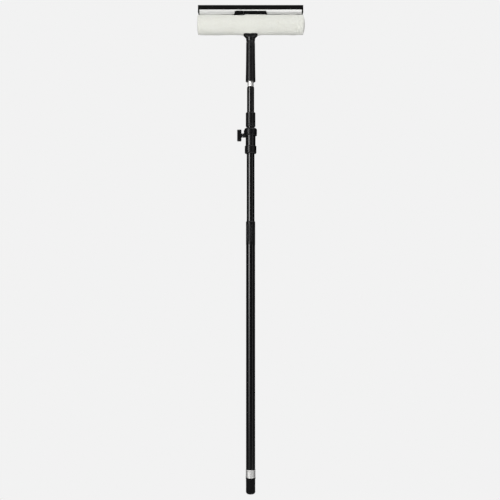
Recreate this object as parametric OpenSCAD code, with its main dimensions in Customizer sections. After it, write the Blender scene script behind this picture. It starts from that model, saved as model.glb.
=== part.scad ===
// Window cleaning squeegee on a three-section telescopic pole.
// Millimetres. +Z runs up the pole, +X to the right along the blade, and the
// front faces -Y. The origin is the centre of the end cap's foot.

/* [Outer tube, end cap and ferrule] */
// Outside diameter of the outer tube
outer_tube_od = 25.4; // [24.5:0.1:28]
// Wall of the outer tube
outer_tube_wall = 0.8; // [0.7:0.05:1.1]
// Length of the outer tube
outer_tube_len = 646.5; // [580:0.5:760]
// Height of the end cap below the tube
cap_len = 44.8; // [36:0.1:60]
// Radius of the end cap's flat foot
cap_foot_r = 6.7; // [4:0.1:9]
// Height of the flange at the top of the end cap
cap_flange_h = 4.2; // [3:0.1:8]
// How far the flange stands out past the tube
cap_flange_step = 0.8; // [0.4:0.05:1.6]
// Length of the end cap's plug inside the tube
cap_plug_len = 24; // [15:1:40]
// Length of the ferrule round the tube's lower end
ferrule_len = 22.4; // [15:0.1:40]
// Wall of the ferrule
ferrule_wall = 0.7; // [0.5:0.05:1.2]

/* [Guide collar] */
// Length of the guide collar above the outer tube
guide_collar_len = 66; // [45:1:85]
// How far the guide collar stands out past the outer tube
guide_collar_step = 0.3; // [0.2:0.05:1.2]
// Length of the guide collar's spigot inside the outer tube
guide_spigot_len = 24; // [15:1:35]
// Number of grip flutes round the guide collar
flute_count = 24; // [12:2:30]
// Radius of one grip flute
flute_r = 0.8; // [0.5:0.1:1]

/* [Inner tube] */
// Outside diameter of the inner tube
inner_tube_od = 22.2; // [21.4:0.1:22.4]
// Wall of the inner tube
inner_tube_wall = 0.7; // [0.6:0.05:0.8]
// Length of the inner tube
inner_tube_len = 640; // [580:1:680]
// Length of inner tube that shows between the guide collar and the clamp
inner_reach = 192.5; // [150:0.5:260]

/* [Twist lock] */
// Length of the split expander
expander_len = 34; // [28:1:44]
// Radius of the lock spindle's thread
spindle_r = 4; // [3.5:0.1:4.4]
// Pitch of the lock spindle's thread
spindle_pitch = 2; // [1.5:0.1:2.5]
// Length of the spindle's threaded stud
stud_len = 60; // [56:1:72]
// Widening of the expander's bore per millimetre of length
cone_taper = 0.115; // [0.09:0.005:0.13]
// Width of the expander's slits
slit_w = 2; // [1.4:0.1:2.6]

/* [Pole clamp] */
// Outside diameter of the clamp's lower ring
base_ring_od = 33; // [31.6:0.1:36]
// Height of the clamp's lower ring
base_ring_h = 22; // [16:0.5:30]
// Outside diameter of the clamp's barrel
barrel_od = 28; // [27.8:0.1:29]
// Wall of the clamp's barrel
barrel_wall = 1.15; // [0.9:0.05:1.3]
// Length of barrel that shows between the two rings
barrel_show = 29.3; // [24:0.1:40]
// Outside diameter of the clamp's upper ring
clamp_ring_od = 36.2; // [33:0.1:38]
// Height of the clamp's upper ring
clamp_ring_h = 21.7; // [18:0.1:28]
// Rounding of the upper ring's top edge
clamp_dome_r = 6.2; // [2:0.1:6.6]
// Diameter of the boss that takes the clamp screw
boss_od = 12.4; // [11.4:0.1:14]
// How far the boss reaches out from the pole's axis
boss_reach = 22.5; // [21.5:0.1:26]
// Radius of the clamp screw's thread
screw_r = 3; // [2.5:0.1:3.3]
// Height of the wing knob
knob_h = 34.2; // [26:0.1:42]
// Thickness of the wing knob
knob_t = 12.1; // [8:0.1:14]
// Distance from the pole's axis to the outer face of the wing knob
knob_reach = 38.1; // [37:0.1:44]

/* [Upper tube] */
// Outside diameter of the upper tube
upper_tube_od = 20.4; // [19.6:0.1:20.5]
// Wall of the upper tube
upper_tube_wall = 0.8; // [0.6:0.05:1.2]
// Length of the upper tube
upper_tube_len = 580; // [500:1:620]
// Length of upper tube that shows above the stop collar
upper_reach = 70.2; // [50:0.1:120]
// Outside diameter of the stop collar
stop_collar_od = 27.5; // [25:0.1:32]
// Length of the stop collar
stop_collar_len = 41; // [25:0.1:60]
// Gap between the clamp and the stop collar
stop_gap = 3.3; // [2:0.1:8]
// Height of the cap that closes the upper tube
tube_cap_h = 4.5; // [3:0.1:8]
// Diameter of the plated tip
tip_od = 17.1; // [15.5:0.1:18]
// Length of the plated tip above the tube
tip_len = 72; // [50:1:80]
// Length of tip that shows below the grip
tip_show = 14.5; // [8:0.1:20]

/* [Grip] */
// Length of the grip
grip_len = 116.5; // [105:0.5:140]
// Diameter of the grip just above its mouth
grip_mouth_od = 28.1; // [26.5:0.1:32]
// Diameter of the grip near its upper end
grip_top_od = 25.4; // [24.8:0.1:28]
// Diameter of the waist between the grip and the neck
waist_od = 24; // [22.4:0.1:24.4]
// Distance from the grip's upper end down to the snap button
button_drop = 20; // [14:0.5:28]
// Diameter of the snap button
button_od = 6.6; // [5:0.1:7.4]
// How far the snap button stands out of the grip
button_proud = 1.6; // [1:0.1:2.4]

/* [Head] */
// Height from the grip's upper end to the axis of the cross bar
neck_len = 47.8; // [46:0.1:60]
// Diameter of the neck
neck_od = 25.9; // [25:0.1:28]
// Width of the neck's flare under the sleeve
flare_w = 40; // [34:0.1:44]
// Depth of the flare from front to back
flare_d = 27.2; // [26:0.1:36]
// Height of the flare
flare_h = 9.5; // [8:0.1:14]
// Diameter of the cross bar
bar_od = 34; // [30:0.5:36]
// Wall of the cross bar
bar_wall = 2.5; // [2:0.1:3.5]
// Length of the cross bar
bar_len = 290; // [250:1:320]
// Outside diameter of the washer sleeve
sleeve_od = 56; // [54:0.5:60]
// Length of the washer sleeve at its rim
sleeve_len = 301.6; // [300:0.1:340]
// How far the sleeve's right end bulges
sleeve_bulge = 4.3; // [3:0.1:8]

/* [Blade] */
// Length of the blade channel
channel_len = 292; // [250:1:340]
// Height of the blade channel's foot above the washer sleeve
blade_rise = 2.2; // [0.5:0.1:3]
// Height of the blade channel
channel_h = 13.7; // [13.6:0.1:16]
// Width of the blade channel at its foot
channel_w = 14; // [13.4:0.1:14.6]
// Thickness of an end clip
clip_t = 3.6; // [3:0.1:8]
// Height of rubber above the channel
rubber_show = 14.3; // [9:0.1:18]
// How far the rubber stands out past each end clip
rubber_over = 1.3; // [0:0.1:3]
// Thickness of the rubber at its working edge
rubber_t = 2; // [1.4:0.1:2.4]
// Radius of the rubber's bead
bead_r = 2.8; // [2.4:0.05:3]
// Length of the blade bracket at its foot
bracket_len = 95.3; // [84:0.1:120]
// Height of the bracket's walls
bracket_h = 11.4; // [10.2:0.1:11.6]
// Length of the quick-release latch
latch_len = 27.7; // [24:0.1:34]
// Height of the quick-release latch
latch_h = 13.8; // [13:0.1:14.2]

/* [Hidden] */

$fn = 64;

// Clearances
press = 0.05;       // pressed or glued pieces
running = 0.05;     // shafts and tubes that turn or slide in a bore
loose = 0.3;        // faces that come near each other and never rub
cut = 1;            // overshoot of a cutting tool past the face it opens

// Radii of the pole
outer_r = outer_tube_od / 2;
outer_bore_r = outer_r - outer_tube_wall;
inner_r = inner_tube_od / 2;
inner_bore_r = inner_r - inner_tube_wall;
upper_r = upper_tube_od / 2;
upper_bore_r = upper_r - upper_tube_wall;

// Heights up the pole
outer_top_z = cap_len + outer_tube_len;
collar_top_z = outer_top_z + guide_collar_len;
clamp_z = collar_top_z + inner_reach;
base_top_z = clamp_z + base_ring_h;
spigot_rise = 14;
inner_top_z = base_top_z + spigot_rise;
inner_bottom_z = inner_top_z - inner_tube_len;
ring_z = base_top_z + barrel_show;
ring_top_z = ring_z + clamp_ring_h;
stop_z = ring_top_z + stop_gap;
stop_top_z = stop_z + stop_collar_len;
upper_top_z = stop_top_z + upper_reach;
upper_bottom_z = upper_top_z - upper_tube_len;
tip_z = upper_top_z + tube_cap_h;
grip_z = tip_z + tip_show;
grip_top_z = grip_z + grip_len;
bar_z = grip_top_z + neck_len;

// Twist lock, measured down from the inner tube's lower end
spindle_flange_t = 3;
jaws_top_z = inner_bottom_z - spindle_flange_t - loose;
jaws_z = jaws_top_z - expander_len;
jaws_neck_len = 8;
jaws_neck_r = spindle_r + running;
cone_start_r = spindle_r + 2;
cone_gap = 0.35;
cone_len = 16;
cone_overhang = 4;
stud_z = inner_bottom_z - spindle_flange_t - stud_len;

// Pole clamp
base_floor = 4;
barrel_r = barrel_od / 2;
barrel_bore_r = barrel_r - barrel_wall;
barrel_z = clamp_z + base_floor;
clamp_roof = 4;
base_lip_t = 1.4;
bush_z = inner_top_z + press + base_lip_t + loose;
bush_len = ring_top_z - clamp_roof - loose - bush_z;
ring_r = clamp_ring_od / 2;
boss_z = ring_z + 0.7;
cheek_step = 1.2;
insert_r = screw_r + 1.4;
insert_len = 5.3;
pad_r = screw_r + 0.4;
pad_x = -(barrel_bore_r + running);
pad_len = 3.2;
screw_pitch = 1;

// Grip and neck
socket_r = tip_od / 2 + loose;
web_t = 6;
socket_top_z = tip_z + tip_len + loose;
stem_r = 9;
stem_bore_r = 6.6;
stem_z = socket_top_z + web_t + loose;
button_z = grip_top_z - button_drop;

// Washer sleeve
bar_r = bar_od / 2;
sleeve_r = sleeve_od / 2;
sleeve_bore_r = bar_r + loose;
flare_top_z = bar_z - sleeve_r - loose;
lip_h = 1.2;         // height of the flare's upright lip
plug_t = 3;

// Blade
channel_z = bar_z + sleeve_r + blade_rise;
channel_top_z = channel_z + channel_h;
foot_h = 3;          // height of the channel's foot flange
groove_h = 2.8;      // height of the groove above the foot flange
groove_d = 1.4;      // depth of that groove
lip_half = 4;        // half width of the channel's two lips together
bead_drop = 4.8;     // from the channel's top down to the bead's centre
slot_half = rubber_t / 2 + 0.15;
bracket_z = channel_z - 3.9;
bracket_half = bracket_len / 2;
bracket_slant = 4.6;
bracket_front = channel_w / 2 + 4;
seat_z = bar_z + bar_r + 1;
latch_z = bracket_z - 2.6;
latch_pivot_y = -(channel_w / 2 + 2.6);
latch_pivot_z = latch_z + 11.3;
latch_x = -bracket_half;
latch_end_x = latch_x + latch_len;
knuckle_r = 2.3;
pin_r = 1;
lug_t = 2.5;

// Points along an arc about (cx, cy) from angle a0 to a1
function arc(cx, cy, r, a0, a1, n = 8) =
    [for (i = [0:n]) let (a = a0 + (a1 - a0) * i / n) [cx + r * cos(a), cy + r * sin(a)]];

// A ring about the Z axis
module ring(r_out, r_in, h) {
    difference() {
        cylinder(r = r_out, h = h);
        translate([0, 0, -cut]) cylinder(r = r_in, h = h + 2 * cut);
    }
}

// Lays a child that stands on Z along +X
module along_x() {
    rotate([0, 90, 0]) children();
}

// Extrudes an outline drawn as (y, z) along +X, from x0 to x1
module extrude_x(x0, x1) {
    translate([x0, 0, 0]) rotate([90, 0, 90]) linear_extrude(x1 - x0) children();
}

// Extrudes an outline drawn as (x, z) through the depth, from y0 to y1
module extrude_y(y0, y1) {
    translate([0, y1, 0]) rotate([90, 0, 0]) linear_extrude(y1 - y0) children();
}

// Crests of a thread as rings of one pitch, on a core
module thread_rings(r, pitch, len) {
    depth = pitch * 0.3;
    turns = floor(len / pitch);
    rotate_extrude() polygon(concat(
        [[0, 0], [r - depth, 0]],
        [for (i = [0:turns - 1]) each [
            [r - depth, (i + 0.1) * pitch],
            [r, (i + 0.4) * pitch],
            [r, (i + 0.6) * pitch],
            [r - depth, (i + 0.9) * pitch]]],
        [[r - depth, len], [0, len]]));
}

// ---------------------------------------------------------------- outer pole

module end_cap() {
    body_r = outer_r + 0.25;
    foot_fillet = body_r - cap_foot_r;
    flange_r = outer_r + cap_flange_step;
    groove_z = cap_len - cap_flange_h;
    plug_r = outer_bore_r - press;
    color("#141414") difference() {
        rotate_extrude() polygon(concat(
            [[0, 0], [cap_foot_r, 0]],
            arc(cap_foot_r, foot_fillet, foot_fillet, -90, 0),
            [[body_r - 0.15, groove_z / 2], [body_r, groove_z - 1.4],
             [body_r - 0.5, groove_z - 1], [body_r - 0.5, groove_z],
             [flange_r - 0.4, groove_z], [flange_r, groove_z + 0.4],
             [flange_r, cap_len], [plug_r, cap_len],
             [plug_r, cap_len + cap_plug_len - 1.5],
             [plug_r - 1.5, cap_len + cap_plug_len], [0, cap_len + cap_plug_len]]));
        translate([0, 0, cap_len]) cylinder(r = plug_r - 2.4, h = cap_plug_len + cut);
        for (a = [0:90:270])
            rotate(a) translate([plug_r - 0.4, -1, cap_len + 2]) cube([2, 2, cap_plug_len]);
    }
}

module end_ferrule() {
    r_in = outer_r + press;
    r_out = r_in + ferrule_wall;
    bead = 0.25;
    color("#c9c7c3") translate([0, 0, cap_len]) rotate_extrude() polygon(concat(
        [[r_in, 0]],
        arc(r_out - bead, 1, bead * 2, -90, 90, 6),
        [[r_out - bead, ferrule_len - 2]],
        arc(r_out - bead, ferrule_len - 1, bead * 2, -90, 90, 6),
        [[r_in, ferrule_len - 0.2]]));
}

module outer_tube() {
    color("#121212") translate([0, 0, cap_len])
        ring(outer_r, outer_bore_r, outer_tube_len);
}

module guide_collar() {
    body_r = outer_r + guide_collar_step;
    bore_r = inner_r + running;
    spigot_r = outer_bore_r - press;
    foot_z = outer_top_z - guide_spigot_len;
    flute_rest = 9;
    color("#1b1b1b") difference() {
        rotate_extrude() polygon([
            [0, foot_z], [spigot_r - 0.8, foot_z], [spigot_r, foot_z + 1.5],
            [spigot_r, outer_top_z], [body_r, outer_top_z],
            [body_r, collar_top_z - 2], [body_r - 1.2, collar_top_z], [0, collar_top_z]]);
        translate([0, 0, foot_z - cut]) cylinder(r = bore_r, h = collar_top_z - foot_z + 2 * cut);
        translate([0, 0, collar_top_z - 0.8]) cylinder(r1 = bore_r, r2 = bore_r + 0.6, h = 1.2);
        for (i = [0:flute_count - 1])
            rotate((i + 0.5) * 360 / flute_count)
                translate([body_r + flute_r * 0.55, 0, outer_top_z + flute_rest])
                    cylinder(r = flute_r, h = guide_collar_len - 2 * flute_rest);
    }
}

// ---------------------------------------------------------------- twist lock

module expander_jaws() {
    cone_top_z = jaws_top_z - jaws_neck_len;
    cone_h = cone_top_z - jaws_z;
    slit_top_z = jaws_top_z - jaws_neck_len / 2;
    jaw_r = outer_bore_r - running;
    color("#d8d6cf") difference() {
        translate([0, 0, jaws_z]) cylinder(r = jaw_r, h = expander_len);
        translate([0, 0, jaws_z - cut]) cylinder(r = jaws_neck_r, h = expander_len + 2 * cut);
        translate([0, 0, jaws_z - cut])
            cylinder(r1 = cone_start_r + (cone_h + cut) * cone_taper, r2 = cone_start_r, h = cone_h + cut);
        for (a = [0, 90])
            rotate(a) translate([-outer_r, -slit_w / 2, jaws_z - cut])
                cube([2 * outer_r, slit_w, slit_top_z - jaws_z + cut]);
    }
}

module cone_nut() {
    cone_top_z = jaws_top_z - jaws_neck_len;
    z0 = jaws_z - cone_overhang;
    r_low = cone_start_r + (cone_top_z - z0) * cone_taper - cone_gap;
    r_high = r_low - cone_len * cone_taper;
    key_w = slit_w - 2 * 0.2;
    key_r = outer_bore_r - 1.2;
    color("#b9b6ad") difference() {
        union() {
            translate([0, 0, z0]) cylinder(r1 = r_low, r2 = r_high, h = cone_len);
            for (a = [0, 90])
                rotate(a) translate([-key_r, -key_w / 2, z0]) cube([2 * key_r, key_w, cone_len - 2]);
        }
        translate([0, 0, z0 - cut]) cylinder(r = spindle_r + running, h = cone_len + 2 * cut);
    }
}

module lock_spindle() {
    plug_len = 30;
    plug_r = inner_bore_r - press;
    color("#2a2a2a") {
        difference() {
            union() {
                translate([0, 0, inner_bottom_z - spindle_flange_t]) cylinder(r = inner_r, h = spindle_flange_t);
                translate([0, 0, inner_bottom_z]) cylinder(r = plug_r, h = plug_len);
            }
            translate([0, 0, inner_bottom_z + 6]) cylinder(r = plug_r - 3, h = plug_len);
        }
        translate([0, 0, stud_z]) thread_rings(spindle_r, spindle_pitch, stud_len);
    }
}

module spindle_stop() {
    washer_r = spindle_r + 2.5;
    head_af = 8;
    color("#a8a8a8") translate([0, 0, stud_z]) {
        translate([0, 0, -1.5]) cylinder(r = washer_r, h = 1.5);
        translate([0, 0, -1.5 - 3]) cylinder(r = head_af / sqrt(3), h = 3, $fn = 6);
    }
}

// ---------------------------------------------------------------- pole clamp

module inner_tube() {
    color("#121212") translate([0, 0, inner_bottom_z])
        ring(inner_r, inner_bore_r, inner_tube_len);
}

module clamp_base() {
    bore_r = inner_r + press;
    pocket_r = barrel_r + press;
    spigot_r = barrel_bore_r - press;
    ring_out = base_ring_od / 2;
    edge = 2;
    lip_z = inner_top_z + press;
    color("#191919") rotate_extrude() polygon(concat(
        [[bore_r, clamp_z], [ring_out - edge, clamp_z], [ring_out, clamp_z + edge]],
        arc(ring_out - edge, base_top_z - edge, edge, 0, 90),
        [[pocket_r, base_top_z], [pocket_r, barrel_z - press], [spigot_r, barrel_z - press],
         [spigot_r, lip_z + base_lip_t - 0.5], [spigot_r - 0.5, lip_z + base_lip_t],
         [upper_r + loose, lip_z + base_lip_t], [upper_r + loose, lip_z], [bore_r, lip_z]]));
}

module clamp_barrel() {
    barrel_top_z = ring_top_z - clamp_roof - press;
    color("#1e1e1e") difference() {
        translate([0, 0, barrel_z]) ring(barrel_r, barrel_bore_r, barrel_top_z - barrel_z);
        translate([0, 0, boss_z]) rotate([0, -90, 0]) cylinder(r = pad_r + loose, h = ring_r);
    }
}

module clamp_ring() {
    barrel_fit_r = barrel_r + press;
    pad_bore_r = pad_r + running;
    cheek_x = -(ring_r + cheek_step);
    cheek_h = clamp_ring_h - clamp_dome_r - boss_od / 2 - (boss_z - ring_z);
    insert_x = -(boss_reach - insert_len);
    ring_groove = 1.6;
    color("#191919") difference() {
        union() {
            translate([0, 0, ring_z]) rotate_extrude() polygon(concat(
                [[0, 0], [ring_r - 1, 0], [ring_r, 1],
                 [ring_r, 2], [ring_r - ring_groove, 2.5], [ring_r - ring_groove, 4.3], [ring_r, 4.8]],
                arc(ring_r - clamp_dome_r, clamp_ring_h - clamp_dome_r, clamp_dome_r, 0, 90),
                [[0, clamp_ring_h]]));
            translate([0, 0, boss_z]) rotate([0, -90, 0]) cylinder(d = boss_od, h = boss_reach);
            translate([cheek_x, -boss_od / 2, boss_z]) cube([-cheek_x, boss_od, cheek_h]);
            translate([0, 0, boss_z + cheek_h]) rotate([0, -90, 0]) cylinder(d = boss_od, h = -cheek_x);
        }
        translate([0, 0, boss_z - boss_od])
            cylinder(r = barrel_fit_r, h = ring_top_z - clamp_roof - boss_z + boss_od);
        translate([0, 0, ring_z]) cylinder(r = upper_r + loose, h = clamp_ring_h + cut);
        translate([0, 0, ring_top_z]) cylinder(r = ring_r * 2, h = boss_od);
        translate([0, 0, boss_z]) rotate([0, -90, 0]) cylinder(r = pad_bore_r, h = boss_reach);
        translate([insert_x, 0, boss_z]) rotate([0, -90, 0]) cylinder(r = insert_r + press, h = boss_reach);
    }
}

module thread_insert() {
    insert_x = -(boss_reach - insert_len);
    color("#b08d3c") translate([insert_x, 0, boss_z]) rotate([0, -90, 0])
        ring(insert_r, screw_r + running, insert_len);
}

module pressure_pad() {
    color("#d8d6cf") difference() {
        translate([pad_x, 0, boss_z]) rotate([0, -90, 0]) cylinder(r = pad_r, h = pad_len);
        translate([pad_x - 1, 0, boss_z]) rotate([0, -90, 0]) cylinder(r = screw_r / 2 + running, h = pad_len);
    }
}

module clamp_screw() {
    tip_x = pad_x - 1.2;
    shoulder_x = pad_x - pad_len - 0.1;
    head_x = -(knob_reach - knob_t / 2);
    color("#9a9a9a") {
        translate([tip_x, 0, boss_z]) rotate([0, -90, 0]) cylinder(r = screw_r / 2, h = tip_x - shoulder_x);
        translate([shoulder_x, 0, boss_z]) rotate([0, -90, 0])
            thread_rings(screw_r, screw_pitch, shoulder_x - head_x);
    }
}

module clamp_knob() {
    hub_r = boss_od / 2 - 0.1;
    edge = 2.2;
    wing_r = knob_t / 2;
    wing_z = knob_h / 2 - wing_r;
    hub_x = -(boss_reach + 0.6);
    color("#161616") difference() {
        union() {
            for (s = [-1, 1])
                translate([-knob_reach, 0, boss_z + s * wing_z]) along_x()
                    rotate_extrude() polygon(concat(
                        [[0, 0]], arc(wing_r - edge, edge, edge, -90, 0, 6),
                        arc(wing_r - edge, knob_t - edge, edge, 0, 90, 6), [[0, knob_t]]));
            translate([0, 0, boss_z - wing_z]) linear_extrude(2 * wing_z) polygon(concat(
                arc(edge - knob_reach, edge - wing_r, edge, 180, 270, 6),
                arc(knob_t - edge - knob_reach, edge - wing_r, edge, 270, 360, 6),
                arc(knob_t - edge - knob_reach, wing_r - edge, edge, 0, 90, 6),
                arc(edge - knob_reach, wing_r - edge, edge, 90, 180, 6)));
            translate([-knob_reach + knob_t - edge, 0, boss_z]) along_x()
                cylinder(r = hub_r, h = knob_reach - knob_t + edge + hub_x);
        }
        translate([-(knob_reach - knob_t / 2), 0, boss_z]) along_x()
            cylinder(r = screw_r + press, h = knob_reach);
    }
}

module split_bush() {
    slit = 1.6;
    color("#d8d6cf") difference() {
        translate([0, 0, bush_z]) ring(barrel_bore_r - 2 * running, upper_r + running, bush_len);
        translate([0, -slit / 2, bush_z - cut]) cube([ring_r, slit, bush_len + 2 * cut]);
    }
}

// ---------------------------------------------------------------- upper pole

module upper_tube() {
    color("#121212") translate([0, 0, upper_bottom_z])
        ring(upper_r, upper_bore_r, upper_tube_len);
}

module guide_plug() {
    plug_h = 14;
    spigot_h = 16;
    plug_r = inner_bore_r - running;
    color("#d8d6cf") difference() {
        union() {
            translate([0, 0, upper_bottom_z - plug_h]) cylinder(r = plug_r, h = plug_h);
            translate([0, 0, upper_bottom_z]) cylinder(r = upper_bore_r - press, h = spigot_h);
        }
        translate([0, 0, upper_bottom_z - plug_h - cut]) cylinder(r = upper_bore_r - 3, h = plug_h + spigot_h + 2 * cut);
    }
}

module stop_collar() {
    out_r = stop_collar_od / 2;
    bore_r = upper_r + press;
    chamfer = 1.4;
    band = 6;
    color("#1b1b1b") translate([0, 0, stop_z]) rotate_extrude() polygon([
        [bore_r, 0], [out_r - 1.2, 0], [out_r, 2.2], [out_r, band], [out_r - 0.5, band + 0.4],
        [out_r - 0.5, band + 1.2], [out_r - 0.1, band + 1.6],
        [out_r - 0.1, stop_collar_len - chamfer], [out_r - chamfer, stop_collar_len],
        [bore_r, stop_collar_len]]);
}

module tube_cap() {
    edge = 3;
    plug_len = 26;
    shank_r = tip_od / 2 - 2.5 + press;
    out_r = upper_r - 0.1;
    color("#151515") rotate_extrude() polygon(concat(
        [[shank_r, upper_top_z - plug_len], [upper_bore_r - press - 1, upper_top_z - plug_len],
         [upper_bore_r - press, upper_top_z - plug_len + 1], [upper_bore_r - press, upper_top_z],
         [out_r, upper_top_z]],
        arc(out_r - edge, tip_z - edge, edge, 0, 90),
        [[shank_r, tip_z]]));
}

module pole_tip() {
    tip_r = tip_od / 2;
    shank_r = tip_r - 2.5;
    shank_len = 24;
    neck_z = tip_z + tip_show + 14;
    groove = 0.35;
    color("#c8c8ca") rotate_extrude() polygon(concat(
        [[0, tip_z - shank_len], [shank_r, tip_z - shank_len], [shank_r, tip_z], [tip_r, tip_z]],
        [for (g = [0.34, 0.62]) each [
            [tip_r, tip_z + g * tip_show - 0.5], [tip_r - groove, tip_z + g * tip_show - 0.2],
            [tip_r - groove, tip_z + g * tip_show + 0.2], [tip_r, tip_z + g * tip_show + 0.5]]],
        [[tip_r, neck_z], [tip_r - 0.6, neck_z + 0.8], [tip_r - 0.6, tip_z + tip_len - 4],
         [tip_r - 3, tip_z + tip_len], [0, tip_z + tip_len]]));
}

// ---------------------------------------------------------------- grip

// Radius of the grip at a height above its mouth
function grip_r(h) = let (
        waist_h = grip_len - 9,
        body = grip_top_od / 2 + (grip_mouth_od - grip_top_od) / 2 * pow(1 - min(h, waist_h) / waist_h, 1.6),
        pinch = h > waist_h ? (1 - cos(90 * (h - waist_h) / 9)) : 0)
    body - (grip_top_od - waist_od) / 2 * pinch;

module handle_grip() {
    edge = 1.6;
    mouth_r = grip_r(0) - 1.9;
    mouth_depth = 4;
    steps = 18;
    first_r = grip_r(edge);
    color("#1d1d1d") difference() {
        translate([0, 0, grip_z]) rotate_extrude() polygon(concat(
            [[0, 0]], arc(first_r - edge, edge, edge, -90, 0, 6),
            [for (i = [1:steps]) let (h = edge + (grip_len - edge) * i / steps) [grip_r(h), h]],
            [[0, grip_len]]));
        translate([0, 0, grip_z - cut]) cylinder(r = socket_r, h = socket_top_z - grip_z + cut);
        translate([0, 0, grip_z - cut]) cylinder(r = mouth_r, h = mouth_depth + cut);
        translate([0, 0, grip_z + mouth_depth]) cylinder(r1 = mouth_r, r2 = socket_r, h = 3);
        translate([0, 0, stem_z - loose]) cylinder(r = stem_r + press, h = grip_top_z);
        translate([0, 0, button_z]) rotate([90, 0, 0]) cylinder(r = button_od / 2 + running, h = grip_mouth_od);
    }
}

module snap_button() {
    face_y = -(grip_r(grip_len - button_drop) + button_proud);
    flange_r = button_od / 2 + 0.9;
    flange_y = -(sqrt(stem_bore_r * stem_bore_r - flange_r * flange_r) - loose);
    r = button_od / 2;
    color("#202020") translate([0, 0, button_z]) rotate([-90, 0, 0]) translate([0, 0, face_y])
        rotate_extrude() polygon(concat(
            [[0, 0]], arc(r - 0.8, 0.8, 0.8, -90, 0, 4),
            [[r, flange_y - face_y], [flange_r, flange_y - face_y],
             [flange_r, flange_y - face_y + 0.9], [0, flange_y - face_y + 0.9]]));
}

// Bent leaf behind the button: two legs joined by a half round
module button_spring() {
    flange_r = button_od / 2 + 0.9;
    front_y = -(sqrt(stem_bore_r * stem_bore_r - flange_r * flange_r) - loose) + 1;
    leaf_t = 0.5;
    leaf_w = 5;
    back_y = sqrt(stem_bore_r * stem_bore_r - leaf_w * leaf_w / 4) - loose;
    leg = 22;
    mid_y = (front_y + back_y) / 2;
    bend_r = (back_y - front_y) / 2;
    color("#b4b4b4") extrude_x(-leaf_w / 2, leaf_w / 2) polygon(concat(
        [[front_y, button_z + 4]],
        arc(mid_y, button_z - leg, bend_r, 180, 360, 12),
        [[back_y, button_z + 8], [back_y - leaf_t, button_z + 8]],
        arc(mid_y, button_z - leg, bend_r - leaf_t, 360, 180, 12),
        [[front_y + leaf_t, button_z + 4]]));
}

// ---------------------------------------------------------------- head

// One face of the flare from its foot up to its lip, drawn as (across, z)
module flare_outline(half, foot, foot_z) {
    lip_z = flare_top_z - lip_h;
    polygon([[-foot, foot_z - 3], [-foot, foot_z], [-half, lip_z], [-half, flare_top_z],
             [half, flare_top_z], [half, lip_z], [foot, foot_z], [foot, foot_z - 3]]);
}

module head_body() {
    neck_r = neck_od / 2;
    swell_h = 6;
    foot_r = neck_r + 0.6;
    flare_z = flare_top_z - flare_h;
    corner_r = sqrt(flare_w * flare_w + flare_d * flare_d) / 2 - 2.8;
    color("#161616") difference() {
        union() {
            translate([0, 0, stem_z]) cylinder(r = stem_r, h = bar_z - stem_z);
            translate([0, 0, grip_top_z + press]) rotate_extrude() polygon(concat(
                [[0, 0]],
                [for (i = [0:6]) let (u = i / 6)
                    [waist_od / 2 + (neck_r - waist_od / 2) * sin(90 * u), swell_h * u]],
                [[neck_r, neck_len], [0, neck_len]]));
            intersection() {
                rotate_extrude() polygon([
                    [0, flare_z - 3], [neck_r, flare_z - 3], [foot_r, flare_z],
                    [corner_r, flare_top_z - lip_h], [corner_r, flare_top_z], [0, flare_top_z]]);
                extrude_y(-flare_w, flare_w) flare_outline(flare_w / 2, foot_r + 0.2, flare_z);
                extrude_x(-flare_w, flare_w) flare_outline(flare_d / 2, foot_r + 0.2, flare_z);
            }
            translate([-bar_len / 2, 0, bar_z]) along_x() cylinder(r = bar_r, h = bar_len);
            translate([-bracket_half + 6, -channel_w / 2 - 2, bar_z])
                cube([bracket_len - 12, channel_w + 4, seat_z - bar_z]);
        }
        translate([-bar_len / 2 - cut, 0, bar_z]) along_x()
            cylinder(r = bar_r - bar_wall, h = bar_len + 2 * cut);
        translate([0, 0, stem_z - cut]) cylinder(r = stem_bore_r, h = bar_z - stem_z);
        translate([0, 0, button_z]) rotate([90, 0, 0]) cylinder(r = button_od / 2 + running, h = stem_r * 2);
        for (s = [-1, 1])
            translate([s * bracket_len * 0.3, 0, bar_z]) cylinder(r = 1.6 + running, h = bar_r * 2);
        for (s = [-1, 1], i = [1:4])
            translate([s * (bar_len * 0.1 + i * bar_len * 0.08), 0, bar_z]) rotate([-90, 0, 0])
                translate([0, 0, -bar_r - cut]) cylinder(r = 5, h = 2 * bar_r + 2 * cut);
    }
}

// Plug that closes one end of the cross bar; dome is how far it bulges
module end_plug(dome) {
    plug_r = bar_r - bar_wall - press;
    plug_len = 14;
    dome_r = dome > 0 ? (bar_r * bar_r + dome * dome) / (2 * dome) : 0;
    dome_angle = dome > 0 ? asin(bar_r / dome_r) : 0;
    color("#202020") difference() {
        rotate_extrude() polygon(concat(
            [[0, -plug_len], [plug_r - 1, -plug_len], [plug_r, -plug_len + 1],
             [plug_r, 0], [bar_r, 0], [bar_r, plug_t]],
            dome > 0 ? arc(0, plug_t + dome - dome_r, dome_r, 90 - dome_angle, 90, 6) : [[0, plug_t]]));
        translate([0, 0, -plug_len - cut]) cylinder(r = plug_r - 2, h = plug_len + cut - 1);
    }
}

module end_plug_left() {
    translate([-bar_len / 2, 0, bar_z]) rotate([0, -90, 0]) end_plug(0);
}

module end_plug_right() {
    translate([bar_len / 2, 0, bar_z]) rotate([0, 90, 0]) end_plug(sleeve_bulge - 1.6);
}

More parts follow.
